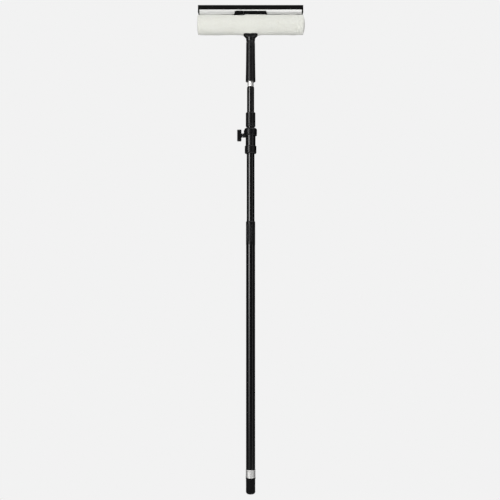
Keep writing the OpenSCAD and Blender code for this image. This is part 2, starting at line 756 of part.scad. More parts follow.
module washer_sleeve() {
    left_x = -sleeve_len / 2;
    right_x = sleeve_len / 2;
    edge = 4;
    bore_left = -(bar_len / 2 + plug_t + loose);
    bore_right = bar_len / 2 + plug_t + sleeve_bulge - 1.6 + loose;
    bulge_r = (pow(sleeve_r - edge, 2) + sleeve_bulge * sleeve_bulge) / (2 * sleeve_bulge);
    bulge_angle = asin((sleeve_r - edge) / bulge_r);
    slot_half_w = bracket_front + 1.5;
    latch_room = 18;
    color("#e4e5df") difference() {
        translate([0, 0, bar_z]) along_x() rotate_extrude() polygon(concat(
            [[0, left_x]],
            arc(sleeve_r - edge, left_x + edge, edge, -90, 0, 6),
            arc(sleeve_r - edge, right_x - edge, edge, 0, 60, 4),
            arc(0, right_x + sleeve_bulge - bulge_r, bulge_r, 90 - bulge_angle, 90, 8)));
        translate([bore_left, 0, bar_z]) along_x()
            cylinder(r = sleeve_bore_r, h = bore_right - bore_left);
        translate([0, 0, bar_z - sleeve_r - cut]) cylinder(r = neck_od / 2 + loose, h = sleeve_r);
        translate([-bracket_half - 2, -slot_half_w, bar_z])
            cube([bracket_len + 4, 2 * slot_half_w, sleeve_r + cut]);
        translate([-bracket_half - 2, -latch_room, bar_z])
            cube([latch_len + 4.4, latch_room, sleeve_r + cut]);
    }
}

// ---------------------------------------------------------------- bracket

// Front outline of the bracket, drawn as (x, z)
module bracket_outline() {
    top_z = bracket_z + bracket_h;
    offset(r = 1) offset(delta = -1) polygon([
        [-bracket_half, bracket_z], [bracket_half, bracket_z],
        [bracket_half - bracket_slant * 0.8, top_z], [-bracket_half + bracket_slant, top_z]]);
}

module blade_bracket() {
    pocket_half = channel_w / 2 + loose;
    pocket_z = channel_z - loose;
    rib_half = channel_w / 2 - groove_d + loose;
    rib_z = channel_z + foot_h + 0.7;
    latch_gap = 0.4;
    lug_y = latch_pivot_y;
    color("#151515") difference() {
        union() {
            difference() {
                extrude_y(-bracket_front, bracket_front) bracket_outline();
                translate([-bracket_len, -pocket_half, pocket_z]) cube([2 * bracket_len, 2 * pocket_half, channel_h]);
                translate([-bracket_len, -2 * bracket_front, bracket_z - cut])
                    cube([bracket_len + latch_end_x + latch_gap, 2 * bracket_front - pocket_half, bracket_h + 2 * cut]);
            }
            for (s = [-1, 1])
                extrude_x(s < 0 ? latch_end_x + latch_gap : -bracket_half + bracket_slant, bracket_half - bracket_slant)
                    polygon([[s * rib_half, rib_z], [s * (pocket_half + 1), rib_z - 0.2],
                             [s * (pocket_half + 1), rib_z + 2], [s * rib_half, rib_z + 1.4]]);
            translate([-bracket_half + 6, -channel_w / 2 - 2, seat_z + press])
                cube([bracket_len - 12, channel_w + 4, pocket_z - seat_z - press]);
            for (x = [latch_x + lug_t, latch_end_x - 2 * lug_t]) {
                translate([x, lug_y, latch_pivot_z]) along_x() cylinder(r = knuckle_r, h = lug_t);
                translate([x, lug_y, bracket_z]) cube([lug_t, -pocket_half - lug_y, latch_pivot_z - bracket_z]);
                translate([x, lug_y, bracket_z]) cube([lug_t, -lug_y, pocket_z - bracket_z]);
            }
        }
        translate([-bracket_len, lug_y, latch_pivot_z]) along_x() cylinder(r = pin_r + press, h = bracket_len);
        for (s = [-1, 1])
            translate([s * bracket_len * 0.3, 0, 0]) {
                translate([0, 0, seat_z - cut]) cylinder(r = 2 + running, h = channel_h);
                translate([0, 0, pocket_z - 2.6]) cylinder(r1 = 2 + running, r2 = 4, h = 2.6);
            }
    }
}

module bracket_screws() {
    top_z = channel_z - loose - 0.3;
    color("#9a9a9a") for (s = [-1, 1])
        translate([s * bracket_len * 0.3, 0, 0]) difference() {
            union() {
                translate([0, 0, top_z - 2.2]) cylinder(r1 = 1.6, r2 = 3.6, h = 2.2);
                translate([0, 0, bar_z + bar_r - bar_wall - 2]) cylinder(r = 1.6, h = top_z - bar_z - bar_r + bar_wall);
            }
            for (a = [0, 90])
                translate([0, 0, top_z]) rotate(a) cube([4, 0.8, 2], center = true);
        }
}

module latch_pin() {
    color("#a8a8a8") translate([latch_x + lug_t, latch_pivot_y, latch_pivot_z]) along_x()
        cylinder(r = pin_r, h = latch_len - 2 * lug_t);
}

module blade_latch() {
    outer_y = latch_pivot_y - 4;
    wall = 1.4;
    top_z = latch_z + latch_h;
    lug_gap = 0.3;
    barrel_x0 = latch_x + 2 * lug_t + lug_gap;
    barrel_x1 = latch_end_x - 2 * lug_t - lug_gap;
    color("#181818") difference() {
        union() {
            intersection() {
                extrude_x(latch_x, latch_end_x) polygon(concat(
                    [[outer_y + wall, latch_z + 2.4], [outer_y + wall + 0.8, latch_z + 1.2],
                     [outer_y + wall + 0.8, latch_z], [outer_y - 1, latch_z]],
                    arc(outer_y - 0.3, latch_z + 1.2, 1, 200, 140, 4),
                    [[outer_y, latch_z + 3]],
                    arc(outer_y + 1, top_z - 1, 1, 180, 90, 4),
                    [[outer_y + wall, top_z]]));
                extrude_y(outer_y - 2, 0) offset(r = 1) offset(delta = -1) polygon([
                    [latch_x + 8.4, latch_z], [latch_end_x - 6, latch_z],
                    [latch_end_x, latch_z + 2.6], [latch_end_x, top_z],
                    [latch_x + bracket_slant + 1.6, top_z],
                    [latch_x + 0.4, latch_z + 4.4], [latch_x + 1.2, latch_z + 2]]);
            }
            translate([barrel_x0, latch_pivot_y, latch_pivot_z]) along_x()
                cylinder(r = knuckle_r, h = barrel_x1 - barrel_x0);
            translate([barrel_x0, latch_pivot_y + 0.2, latch_pivot_z]) along_x()
                cylinder(r = knuckle_r - 0.1, h = barrel_x1 - barrel_x0);
            translate([barrel_x0, outer_y + wall / 2, latch_pivot_z - 1.6])
                cube([barrel_x1 - barrel_x0, latch_pivot_y - outer_y - wall / 2, 3.2]);
        }
        translate([latch_x - cut, latch_pivot_y, latch_pivot_z]) along_x()
            cylinder(r = pin_r + running, h = latch_len + 2 * cut);
    }
}

// ---------------------------------------------------------------- blade

// Half outline of the channel's outside from foot to lip, as (y, z)
function channel_side(s) = [
    [s * channel_w / 2, channel_z], [s * channel_w / 2, channel_z + foot_h],
    [s * (channel_w / 2 - groove_d), channel_z + foot_h + 0.3],
    [s * (channel_w / 2 - groove_d), channel_z + foot_h + groove_h],
    [s * (channel_w / 2 - 0.6), channel_z + foot_h + groove_h + 0.4],
    [s * (channel_w / 2 - 1), channel_z + foot_h + groove_h + 1.6],
    [s * lip_half, channel_top_z]];

module channel_profile() {
    side = channel_side(1);
    polygon(concat(channel_side(-1), [for (i = [len(side) - 1:-1:0]) side[i]]));
}

module channel_cavity(shrink) {
    polygon([[-3.2 + shrink, channel_z + 1.3 + shrink], [3.2 - shrink, channel_z + 1.3 + shrink],
             [3.2 - shrink, channel_z + 5 - shrink], [-3.2 + shrink, channel_z + 5 - shrink]]);
}

module blade_channel() {
    half = channel_len / 2;
    color("#cfcfcc") difference() {
        extrude_x(-half, half) channel_profile();
        translate([-half - cut, 0, channel_top_z - bead_drop]) along_x()
            cylinder(r = bead_r + 0.1, h = channel_len + 2 * cut);
        translate([-half - cut, -slot_half, channel_top_z - bead_drop])
            cube([channel_len + 2 * cut, 2 * slot_half, bead_drop + cut]);
        extrude_x(-half - cut, half + cut) channel_cavity(0);
    }
}

module rubber_blade() {
    half = channel_len / 2 + clip_t + rubber_over;
    bead_z = channel_top_z - bead_drop;
    edge_z = channel_top_z + rubber_show;
    t = rubber_t / 2;
    color("#0f0f0f") {
        extrude_x(-half, half) polygon(concat(
            arc(0, bead_z, bead_r, 90 - asin(t / bead_r), -270 + asin(t / bead_r), 24),
            [[-t, channel_top_z + 0.3], [-t - 1.1, channel_top_z + 0.5],
             [-t - 0.9, channel_top_z + rubber_show * 0.5], [-t + 0.2, channel_top_z + rubber_show * 0.56],
             [-t, channel_top_z + rubber_show * 0.62], [-t, edge_z], [t, edge_z],
             [t, channel_top_z + rubber_show * 0.62], [t - 0.2, channel_top_z + rubber_show * 0.56],
             [t + 0.9, channel_top_z + rubber_show * 0.5], [t + 1.1, channel_top_z + 0.5],
             [t, channel_top_z + 0.3]]));
    }
}

// Clip on one end of the channel: a plate of the channel's outline with a plug
module end_clip() {
    half = channel_len / 2;
    plug_len = 9;
    color("#121212") difference() {
        union() {
            extrude_x(half + press, half + clip_t) intersection() {
                channel_profile();
                translate([-channel_w, channel_z + 1.6]) square([2 * channel_w, channel_h]);
            }
            extrude_x(half - plug_len, half + clip_t - 1) channel_cavity(press);
        }
        translate([half - cut, 0, channel_top_z - bead_drop]) along_x() cylinder(r = bead_r + 0.1, h = clip_t * 2);
        translate([half - cut, -slot_half, channel_top_z - bead_drop])
            cube([clip_t * 2, 2 * slot_half, bead_drop + cut]);
    }
}

module end_clip_left() {
    mirror([1, 0, 0]) end_clip();
}

module end_clip_right() {
    end_clip();
}

end_cap();
end_ferrule();
outer_tube();
guide_collar();
expander_jaws();
cone_nut();
inner_tube();
lock_spindle();
spindle_stop();
clamp_base();
clamp_barrel();
clamp_ring();
thread_insert();
pressure_pad();
clamp_knob();
clamp_screw();
split_bush();
upper_tube();
guide_plug();
stop_collar();
tube_cap();
pole_tip();
handle_grip();
head_body();
end_plug_left();
end_plug_right();
washer_sleeve();
blade_bracket();
bracket_screws();
latch_pin();
snap_button();
button_spring();
blade_latch();
blade_channel();
rubber_blade();
end_clip_left();
end_clip_right();
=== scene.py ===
"""Window squeegee and washer on a telescopic pole: soft pieces, stitching, finishes and a plain studio."""

import math

import bmesh
import bpy
from bpy.props import FloatProperty, FloatVectorProperty, IntProperty, PointerProperty
from mathutils import Matrix, Vector, noise
from mathutils.bvhtree import BVHTree
from mathutils.kdtree import KDTree


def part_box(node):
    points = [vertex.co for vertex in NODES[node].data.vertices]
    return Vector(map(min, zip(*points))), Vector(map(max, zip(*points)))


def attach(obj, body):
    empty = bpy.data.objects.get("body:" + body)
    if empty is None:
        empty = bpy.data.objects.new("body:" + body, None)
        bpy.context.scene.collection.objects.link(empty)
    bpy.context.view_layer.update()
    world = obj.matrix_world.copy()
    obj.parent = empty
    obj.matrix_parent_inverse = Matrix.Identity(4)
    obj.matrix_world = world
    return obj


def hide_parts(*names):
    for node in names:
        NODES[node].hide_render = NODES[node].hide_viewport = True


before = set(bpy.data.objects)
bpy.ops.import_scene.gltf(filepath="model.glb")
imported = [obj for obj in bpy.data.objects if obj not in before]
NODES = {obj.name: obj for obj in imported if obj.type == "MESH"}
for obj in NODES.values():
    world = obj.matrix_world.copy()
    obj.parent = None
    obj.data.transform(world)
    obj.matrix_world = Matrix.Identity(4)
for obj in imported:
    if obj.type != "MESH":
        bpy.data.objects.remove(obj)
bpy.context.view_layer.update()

bl_info = {
    "name": "Telescopic window squeegee",
    "version": (1, 0, 0),
    "blender": (4, 5, 0),
    "location": "3D View > Sidebar > Squeegee",
    "description": "Builds the washer sleeve, its stitching, the finishes and the studio of a squeegee",
    "category": "Object",
}

MM = 0.001


def linear(hex_colour):
    """An sRGB hex value as a linear RGBA colour."""
    parts = [int(hex_colour[i : i + 2], 16) / 255 for i in (1, 3, 5)]
    return [c / 12.92 if c <= 0.04045 else ((c + 0.055) / 1.055) ** 2.4 for c in parts] + [1.0]


def colour(label, hex_colour, about):
    """A colour setting with its sRGB default."""
    return FloatVectorProperty(
        name=label, description=about, subtype="COLOR", size=4, min=0, max=1, default=linear(hex_colour)
    )


def length(label, millimetres, about):
    """A length setting in metres."""
    return FloatProperty(name=label, description=about, unit="LENGTH", precision=4, default=millimetres * MM)


def power(label, watts, about):
    """A light's power setting in watts."""
    return FloatProperty(name=label, description=about, unit="POWER", default=watts)


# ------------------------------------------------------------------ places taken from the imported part

SLEEVE_LO, SLEEVE_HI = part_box("washer_sleeve")
PLUG_LO, PLUG_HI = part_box("end_plug_left")
BRACKET_LO, BRACKET_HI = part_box("blade_bracket")
LATCH_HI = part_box("blade_latch")[1]
AXIS_Z = (PLUG_LO.z + PLUG_HI.z) / 2
SLEEVE_R = (SLEEVE_HI.y - SLEEVE_LO.y) / 2
BAR_R = (PLUG_HI.z - PLUG_LO.z) / 2


# ------------------------------------------------------------------ settings


class SqueegeeSleeveSettings(bpy.types.PropertyGroup):
    fabric: colour("Fabric", "#cccdc8", "Colour of the microfibre pile")
    # Painted shade: the pile is drawn in this darker colour between its loops, where shade would fall
    fabric_painted_shade: colour("Fabric shade", "#bdbdb4", "Colour between the loops of the pile")
    tape: colour("Binding tape", "#d6d6cf", "Colour of the woven tape round the blade's opening")
    thread: colour("Thread", "#efefea", "Colour of the sewing thread")
    lining: colour("Lining", "#c9c9c2", "Colour of the woven lining inside the sleeve")
    neck_hole: length("Neck hole", 13.4, "Radius of the hole that the neck passes through")
    edge_round: length("Edge round", 2.8, "Radius of the sleeve's ends where their seams turn in")
    seam_depth: length("Seam depth", 0.9, "How far the fabric is drawn in at a seam")
    seam_width: length("Seam width", 2.4, "Width of the valley along a seam")
    stitch: length("Stitch", 3.2, "Length of one stitch")
    puff: length("Puff", 0.5, "How far the padding stands out between two seams")
    crest: length("Crest", 1.7, "How far the pile stands up under the blade")
    creases: length("Creases", 0.3, "Depth of the soft creases near the neck")
    binding: length("Binding", 3.6, "Width of the tape that binds the blade's opening")
    slack: FloatProperty(
        name="Slack",
        description="Share of spare cloth that the simulation lets settle",
        subtype="FACTOR",
        default=0.012,
    )
    settle: length("Settle", 0.4, "The furthest that the simulated cloth may move from its padding")


class SqueegeePoleSettings(bpy.types.PropertyGroup):
    enamel: colour("Tube enamel", "#070708", "Gloss black of the tubes")
    plastic: colour("Black plastic", "#0b0b0c", "Black of the moulded collars, clamp and head")
    grip: colour("Grip rubber", "#0e0e0f", "Black of the soft grip")
    nickel: colour("Nickel", "#efeeec", "Plating of the tip and the ferrule")
    zinc: colour("Zinc", "#b9bcc0", "Plating of the screws and the spindle's stop")
    spring: colour("Spring steel", "#9d9b98", "Bare steel of the button's spring")
    brass: colour("Brass", "#c9a45a", "Turned brass of the threaded insert")
    acetal: colour("Acetal", "#e3e0d6", "Natural white of the sliding pieces")
    grain: length("Mould grain", 0.35, "Grain of the mould's spark-eroded walls")


class SqueegeeBladeSettings(bpy.types.PropertyGroup):
    aluminium: colour("Aluminium", "#d2d2d0", "Natural anodised aluminium of the channel")
    rubber: colour("Rubber", "#080808", "Natural rubber of the blade")
    clip: colour("Clip", "#101011", "Plastic of the end clips")


class SqueegeeStageSettings(bpy.types.PropertyGroup):
    backdrop: colour("Backdrop", "#f2f2f2", "Pale grey of the floor and the backdrop")
    distance: length("Camera distance", 2099.8, "Distance from the pole's axis to the camera")
    eye: length("Eye height", 566.1, "Height of the camera above the floor")
    aside: length("Camera aside", -1.7, "How far the camera stands to the right of the pole")
    pitch: FloatProperty(
        name="Pitch", description="How far the camera looks up", unit="ROTATION", default=math.radians(3)
    )
    lens: FloatProperty(
        name="Lens", description="Focal length on a 36 mm sensor", unit="CAMERA", default=53.75
    )
    key: power("Key light", 30, "Power of the strip light on the left")
    fill: power("Fill light", 4.5, "Power of the strip light on the right")
    high: power("High light", 14, "Power of the soft box high on the right")
    front: power("Front light", 39, "Power of the soft box in front of the pole")
    board: power("White board", 6, "Light that the board in front of the pole's foot returns")
    back: power("Back light", 42, "Power of the soft box above and behind the pole")
    ambient: FloatProperty(name="Ambient", description="Brightness of the room round it", default=0.47)
    floor_cuts: IntProperty(name="Floor cuts", description="Squares on each side of the floor", default=24)


# ------------------------------------------------------------------ node and mesh helpers


def add_node(tree, kind, inputs=None, **settings):
    """Adds one shader node. inputs maps a socket to a value, or to the output socket that feeds it."""
    node = tree.nodes.new(kind)
    for key, value in settings.items():
        setattr(node, key, value)
    for key, value in (inputs or {}).items():
        if isinstance(value, bpy.types.NodeSocket):
            tree.links.new(value, node.inputs[key])
        else:
            node.inputs[key].default_value = value
    return node


def empty_tree(owner):
    """The node tree of a new material or world, cleared of its default nodes."""
    owner.use_nodes = True
    owner.node_tree.nodes.clear()
    return owner.node_tree


def new_material(name, **shader_inputs):
    """A material with one Principled shader, and its node tree and shader."""
    material = bpy.data.materials.new(name)
    tree = empty_tree(material)
    shader = add_node(tree, "ShaderNodeBsdfPrincipled", shader_inputs)
    add_node(tree, "ShaderNodeOutputMaterial", {"Surface": shader.outputs[0]})
    return material, tree, shader


def scaled(colour_value, share):
    """The same colour, lighter or darker."""
    return [min(1.0, c * share) for c in colour_value[:3]] + [1.0]


def finish_nodes(finishes):
    """Gives CAD nodes their finishes through their slots. finishes maps a material to nodes' names."""
    for material, names in finishes.items():
        for name in names:
            slots = NODES[name].material_slots
            if not slots:
                raise RuntimeError(f"{name} has no material slot")
            for slot in slots:
                slot.material = material


def link_mesh(name, builder, material):
    """Turns a bmesh into an object of one material, with its place in its mesh."""
    mesh = bpy.data.meshes.new(name)
    builder.to_mesh(mesh)
    builder.free()
    mesh.materials.append(material)
    piece = bpy.data.objects.new(name, mesh)
    bpy.context.scene.collection.objects.link(piece)
    return piece


def sleeve_piece(name, builder, material):
    """Links a bmesh as a smooth piece of the sleeve, which rides on the head."""
    piece = link_mesh(name, builder, material)
    piece.data.polygons.foreach_set("use_smooth", [True] * len(piece.data.polygons))
    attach(piece, "head")
    return piece


# ------------------------------------------------------------------ finishes

# Nearly all of a noise pattern's values lie between these two
NOISE_SPAN = {"From Min": 0.3, "From Max": 0.7}


def stove_enamel(settings):
    """Stove enamel on drawn steel tube: a smooth, deep gloss with a faint orange peel."""
    cloud_size = 62.5 * MM
    rub_width, rub_length = 0.4 * MM, 40 * MM
    peel_size, peel_depth = 3.03 * MM, 0.01 * MM
    material, tree, shader = new_material(
        "stove_enamel_on_steel_tube", **{"IOR": 1.5, "Specular IOR Level": 0.6}
    )
    place = add_node(tree, "ShaderNodeTexCoord").outputs["Object"]
    # The coat is a little cloudy
    cloud = add_node(
        tree, "ShaderNodeTexNoise", {"Vector": place, "Scale": 1 / cloud_size, "Detail": 3.0}
    ).outputs["Fac"]
    tint = add_node(
        tree,
        "ShaderNodeMix",
        {0: cloud, 6: scaled(settings.enamel, 0.8), 7: scaled(settings.enamel, 1.35)},
        data_type="RGBA",
    ).outputs[2]
    tree.links.new(tint, shader.inputs["Base Color"])
    # Sliding leaves fine rubbing marks, drawn out along the tube
    marks = (1 / rub_width, 1 / rub_width, 1 / rub_length)
    stretch = add_node(tree, "ShaderNodeMapping", {"Vector": place, "Scale": marks}).outputs[0]
    rub = add_node(
        tree, "ShaderNodeTexNoise", {"Vector": stretch, "Scale": 1.0, "Detail": 2.0}
    ).outputs["Fac"]
    rough = add_node(
        tree,
        "ShaderNodeMapRange",
        {"Value": rub, "From Min": 0.3, "From Max": 0.75, "To Min": 0.13, "To Max": 0.16},
    ).outputs[0]
    tree.links.new(rough, shader.inputs["Roughness"])
    # Orange peel, as a sprayed coat dries
    peel = add_node(
        tree, "ShaderNodeTexNoise", {"Vector": place, "Scale": 1 / peel_size, "Detail": 1.0}
    ).outputs["Fac"]
    bump = add_node(tree, "ShaderNodeBump", {"Height": peel, "Strength": 0.05, "Distance": peel_depth})
    tree.links.new(bump.outputs[0], shader.inputs["Normal"])
    return material


def moulded_plastic(name, base, grain, roughness, specular, wear=1.5):
    """Injection-moulded plastic: satin, with the fine grain of a spark-eroded mould and polished edges."""
    flow_size = 25 * MM
    worn_edge = 0.6 * MM
    grain_depth = 0.02 * grain
    material, tree, shader = new_material(name, **{"IOR": 1.46, "Specular IOR Level": specular})
    place = add_node(tree, "ShaderNodeTexCoord").outputs["Object"]
    # The melt leaves faint patches where it flowed
    flow = add_node(
        tree,
        "ShaderNodeTexNoise",
        {"Vector": place, "Scale": 1 / flow_size, "Detail": 2.0, "Distortion": 0.6},
    ).outputs["Fac"]
    body = add_node(
        tree, "ShaderNodeMix", {0: flow, 6: scaled(base, 0.86), 7: scaled(base, 1.14)}, data_type="RGBA"
    ).outputs[2]
    # Edges that hands and other pieces rub come up a little lighter
    soft = add_node(tree, "ShaderNodeBevel", {"Radius": worn_edge}, samples=4).outputs[0]
    flat = add_node(tree, "ShaderNodeNewGeometry").outputs["Normal"]
    turn = add_node(
        tree, "ShaderNodeVectorMath", {0: soft, 1: flat}, operation="DOT_PRODUCT"
    ).outputs["Value"]
    edge = add_node(
        tree,
        "ShaderNodeMapRange",
        {"Value": turn, "From Min": 0.99, "From Max": 0.8, "To Min": 0.0, "To Max": 0.5},
    ).outputs[0]
    worn = add_node(
        tree, "ShaderNodeMix", {0: edge, 6: body, 7: scaled(base, wear)}, data_type="RGBA"
    ).outputs[2]
    tree.links.new(worn, shader.inputs["Base Color"])
    # Grain of the mould wall: one grain is a cell of the noise
    pits = add_node(
        tree, "ShaderNodeTexNoise", {"Vector": place, "Scale": 1 / grain, "Detail": 2.0}
    ).outputs["Fac"]
    rough = add_node(
        tree,
        "ShaderNodeMapRange",
        {"Value": pits, **NOISE_SPAN, "To Min": roughness - 0.05, "To Max": roughness + 0.06},
    ).outputs[0]
    tree.links.new(rough, shader.inputs["Roughness"])
    bump = add_node(
        tree, "ShaderNodeBump", {"Height": pits, "Strength": 0.5, "Distance": grain_depth, "Normal": soft}
    )
    tree.links.new(bump.outputs[0], shader.inputs["Normal"])
    return material


def plated_steel(name, base, roughness, lathe_pitch):
    """Turned metal, plated or bare: bright, with the fine rings that the lathe leaves."""
    haze_size = 11.1 * MM
    ring_length = 50 * MM
    ring_depth = 0.02 * MM
    material, tree, shader = new_material(name, **{"Metallic": 1.0})
    place = add_node(tree, "ShaderNodeTexCoord").outputs["Object"]
    # Handling leaves a light haze
    haze = add_node(
        tree, "ShaderNodeTexNoise", {"Vector": place, "Scale": 1 / haze_size, "Detail": 3.0}
    ).outputs["Fac"]
    tone = add_node(
        tree, "ShaderNodeMix", {0: haze, 6: scaled(base, 0.93), 7: scaled(base, 1.05)}, data_type="RGBA"
    ).outputs[2]
    tree.links.new(tone, shader.inputs["Base Color"])
    # Lathe rings: one noise cell for each pitch along the axis, drawn out round it
    cells = (1 / ring_length, 1 / ring_length, 1 / lathe_pitch)
    rings = add_node(tree, "ShaderNodeMapping", {"Vector": place, "Scale": cells}).outputs[0]
    lathe = add_node(
        tree, "ShaderNodeTexNoise", {"Vector": rings, "Scale": 1.0, "Detail": 2.0}
    ).outputs["Fac"]
    rough = add_node(
        tree,
        "ShaderNodeMapRange",
        {"Value": lathe, **NOISE_SPAN, "To Min": roughness - 0.04, "To Max": roughness + 0.06},
    ).outputs[0]
    tree.links.new(rough, shader.inputs["Roughness"])
    bump = add_node(tree, "ShaderNodeBump", {"Height": lathe, "Strength": 0.2, "Distance": ring_depth})
    tree.links.new(bump.outputs[0], shader.inputs["Normal"])
    return material


def anodised_aluminium(settings):
    """Extruded aluminium, clear anodised: a soft silver with die lines along its length."""
    line_width, line_length = 0.303 * MM, 250 * MM
    line_depth = 0.02 * MM
    material, tree, shader = new_material("anodised_aluminium_extruded", **{"Metallic": 1.0})
    place = add_node(tree, "ShaderNodeTexCoord").outputs["Object"]
    # The die leaves lines that run the whole length
    cells = (1 / line_length, 1 / line_width, 1 / line_width)
    lines = add_node(tree, "ShaderNodeMapping", {"Vector": place, "Scale": cells}).outputs[0]
    die = add_node(
        tree, "ShaderNodeTexNoise", {"Vector": lines, "Scale": 1.0, "Detail": 2.0}
    ).outputs["Fac"]
    tone = add_node(
        tree,
        "ShaderNodeMix",
        {0: die, 6: scaled(settings.aluminium, 0.94), 7: scaled(settings.aluminium, 1.06)},
        data_type="RGBA",
    ).outputs[2]
    tree.links.new(tone, shader.inputs["Base Color"])
    rough = add_node(
        tree, "ShaderNodeMapRange", {"Value": die, **NOISE_SPAN, "To Min": 0.5, "To Max": 0.6}
    ).outputs[0]
    tree.links.new(rough, shader.inputs["Roughness"])
    bump = add_node(tree, "ShaderNodeBump", {"Height": die, "Strength": 0.25, "Distance": line_depth})
    tree.links.new(bump.outputs[0], shader.inputs["Normal"])
    return material


def blade_rubber(settings):
    """Vulcanised natural rubber: a waxy satin black with a faint bloom."""
    bloom_size = 8 * MM
    talc_size, talc_depth = 0.5 * MM, 0.03 * MM
    material, tree, shader = new_material(
        "vulcanised_rubber",
        **{"IOR": 1.52, "Specular IOR Level": 0.04, "Sheen Weight": 0.005, "Sheen Roughness": 0.4},
    )
    place = add_node(tree, "ShaderNodeTexCoord").outputs["Object"]
    # The wax comes to the surface in patches
    bloom = add_node(
        tree, "ShaderNodeTexNoise", {"Vector": place, "Scale": 1 / bloom_size, "Detail": 4.0}
    ).outputs["Fac"]
    tone = add_node(
        tree,
        "ShaderNodeMix",
        {0: bloom, 6: scaled(settings.rubber, 0.8), 7: scaled(settings.rubber, 1.5)},
        data_type="RGBA",
    ).outputs[2]
    tree.links.new(tone, shader.inputs["Base Color"])
    rough = add_node(
        tree, "ShaderNodeMapRange", {"Value": bloom, **NOISE_SPAN, "To Min": 0.42, "To Max": 0.58}
    ).outputs[0]
    tree.links.new(rough, shader.inputs["Roughness"])
    # The mould's talc leaves fine marks
    talc = add_node(
        tree, "ShaderNodeTexNoise", {"Vector": place, "Scale": 1 / talc_size, "Detail": 1.0}
    ).outputs["Fac"]
    bump = add_node(tree, "ShaderNodeBump", {"Height": talc, "Strength": 0.3, "Distance": talc_depth})
    tree.links.new(bump.outputs[0], shader.inputs["Normal"])
    return material


def microfibre(settings):
    """Microfibre washer cloth: short loops that scatter light softly."""
    loop_spacing, loop_depth = 10 * MM / 9, 0.3 * MM
    nudge_size, nudge_reach = 2.5 * MM, 1.2 * MM
    brushed_size = 31.25 * MM
    material, tree, shader = new_material(
        "microfibre_loop_pile",
        **{
            "IOR": 1.5,
            "Specular IOR Level": 0.15,
            "Roughness": 0.95,
            "Sheen Weight": 0.35,
            "Sheen Roughness": 0.5,
        },
    )
    place = add_node(tree, "ShaderNodeTexCoord").outputs["Object"]
    # Nine loops in each 10 mm, nudged so that they don't stand in rows
    nudge = add_node(
        tree, "ShaderNodeTexNoise", {"Vector": place, "Scale": 1 / nudge_size, "Detail": 2.0}
    ).outputs["Color"]
    shift = add_node(
        tree, "ShaderNodeVectorMath", {0: nudge, 1: [nudge_reach] * 3}, operation="MULTIPLY"
    ).outputs[0]
    where = add_node(tree, "ShaderNodeVectorMath", {0: place, 1: shift}, operation="ADD").outputs[0]
    loops = add_node(
        tree, "ShaderNodeTexVoronoi", {"Vector": where, "Scale": 1 / loop_spacing}, feature="SMOOTH_F1"
    ).outputs["Distance"]
    crown = add_node(
        tree,
        "ShaderNodeMapRange",
        {"Value": loops, "From Min": 0.0, "From Max": 0.75, "To Min": 1.0, "To Max": 0.0},
    ).outputs[0]
    # Painted shade: the hollows between the loops are drawn darker, and the crowns of the loops keep the
    # fabric's colour
    pile = add_node(
        tree, "ShaderNodeMix", {0: crown, 6: settings.fabric_painted_shade, 7: settings.fabric}, data_type="RGBA"
    ).outputs[2]
    # Patches where the pile has been brushed one way or the other
    brushed = add_node(
        tree, "ShaderNodeTexNoise", {"Vector": place, "Scale": 1 / brushed_size, "Detail": 3.0}
    ).outputs["Fac"]
    lean = add_node(
        tree,
        "ShaderNodeMapRange",
        {"Value": brushed, "From Min": 0.35, "From Max": 0.65, "To Min": 0.0, "To Max": 0.35},
    ).outputs[0]
    tone = add_node(
        tree, "ShaderNodeMix", {0: lean, 6: pile, 7: scaled(settings.fabric, 0.93)}, data_type="RGBA"
    ).outputs[2]
    tree.links.new(tone, shader.inputs["Base Color"])
    bump = add_node(tree, "ShaderNodeBump", {"Height": crown, "Strength": 0.6, "Distance": loop_depth})
    tree.links.new(bump.outputs[0], shader.inputs["Normal"])
    return material


def woven_tape(settings):
    """Woven polyester tape: matte, with yarns that cross over and under."""
    yarn_width, yarn_depth = 0.714 * MM, 0.1 * MM
    # A wave of scale 1 repeats after 2 pi / 20, and here each wave is two yarns
    waves = math.pi / 20 / yarn_width
    material, tree, shader = new_material(
        "woven_polyester_tape", **{"Roughness": 0.85, "Specular IOR Level": 0.15}
    )
    place = add_node(tree, "ShaderNodeTexCoord").outputs["Object"]
    yarns = [
        add_node(
            tree,
            "ShaderNodeTexWave",
            {"Vector": place, "Scale": waves, "Distortion": 0.6},
            bands_direction=direction,
        ).outputs["Fac"]
        for direction in ("X", "Y")
    ]
    weave = add_node(tree, "ShaderNodeMath", {0: yarns[0], 1: yarns[1]}, operation="MULTIPLY").outputs[0]
    # Painted shade: the tape is drawn darker where the weave dips, in the hollows between its yarns
    tone = add_node(
        tree, "ShaderNodeMix", {0: weave, 6: scaled(settings.tape, 0.86), 7: settings.tape}, data_type="RGBA"
    ).outputs[2]
    tree.links.new(tone, shader.inputs["Base Color"])
    bump = add_node(tree, "ShaderNodeBump", {"Height": weave, "Strength": 0.5, "Distance": yarn_depth})
    tree.links.new(bump.outputs[0], shader.inputs["Normal"])
    return material


def sewing_thread(settings):
    """Spun polyester thread: matte, with a fine twist."""
    twist_size, twist_depth = 0.4 * MM, 0.05 * MM
    material, tree, shader = new_material(
        "spun_polyester_thread", **{"Roughness": 0.8, "Specular IOR Level": 0.2}
    )
    place = add_node(tree, "ShaderNodeTexCoord").outputs["Object"]
    twist = add_node(
        tree, "ShaderNodeTexNoise", {"Vector": place, "Scale": 1 / twist_size, "Detail": 1.0}
    ).outputs["Fac"]
    # Painted shade: the grooves of the twist are drawn darker
    shade = scaled(settings.thread, 0.88)
    tone = add_node(
        tree, "ShaderNodeMix", {0: twist, 6: shade, 7: settings.thread}, data_type="RGBA"
    ).outputs[2]
    tree.links.new(tone, shader.inputs["Base Color"])
    bump = add_node(tree, "ShaderNodeBump", {"Height": twist, "Strength": 0.4, "Distance": twist_depth})
    tree.links.new(bump.outputs[0], shader.inputs["Normal"])
    return material


# ------------------------------------------------------------------ washer sleeve

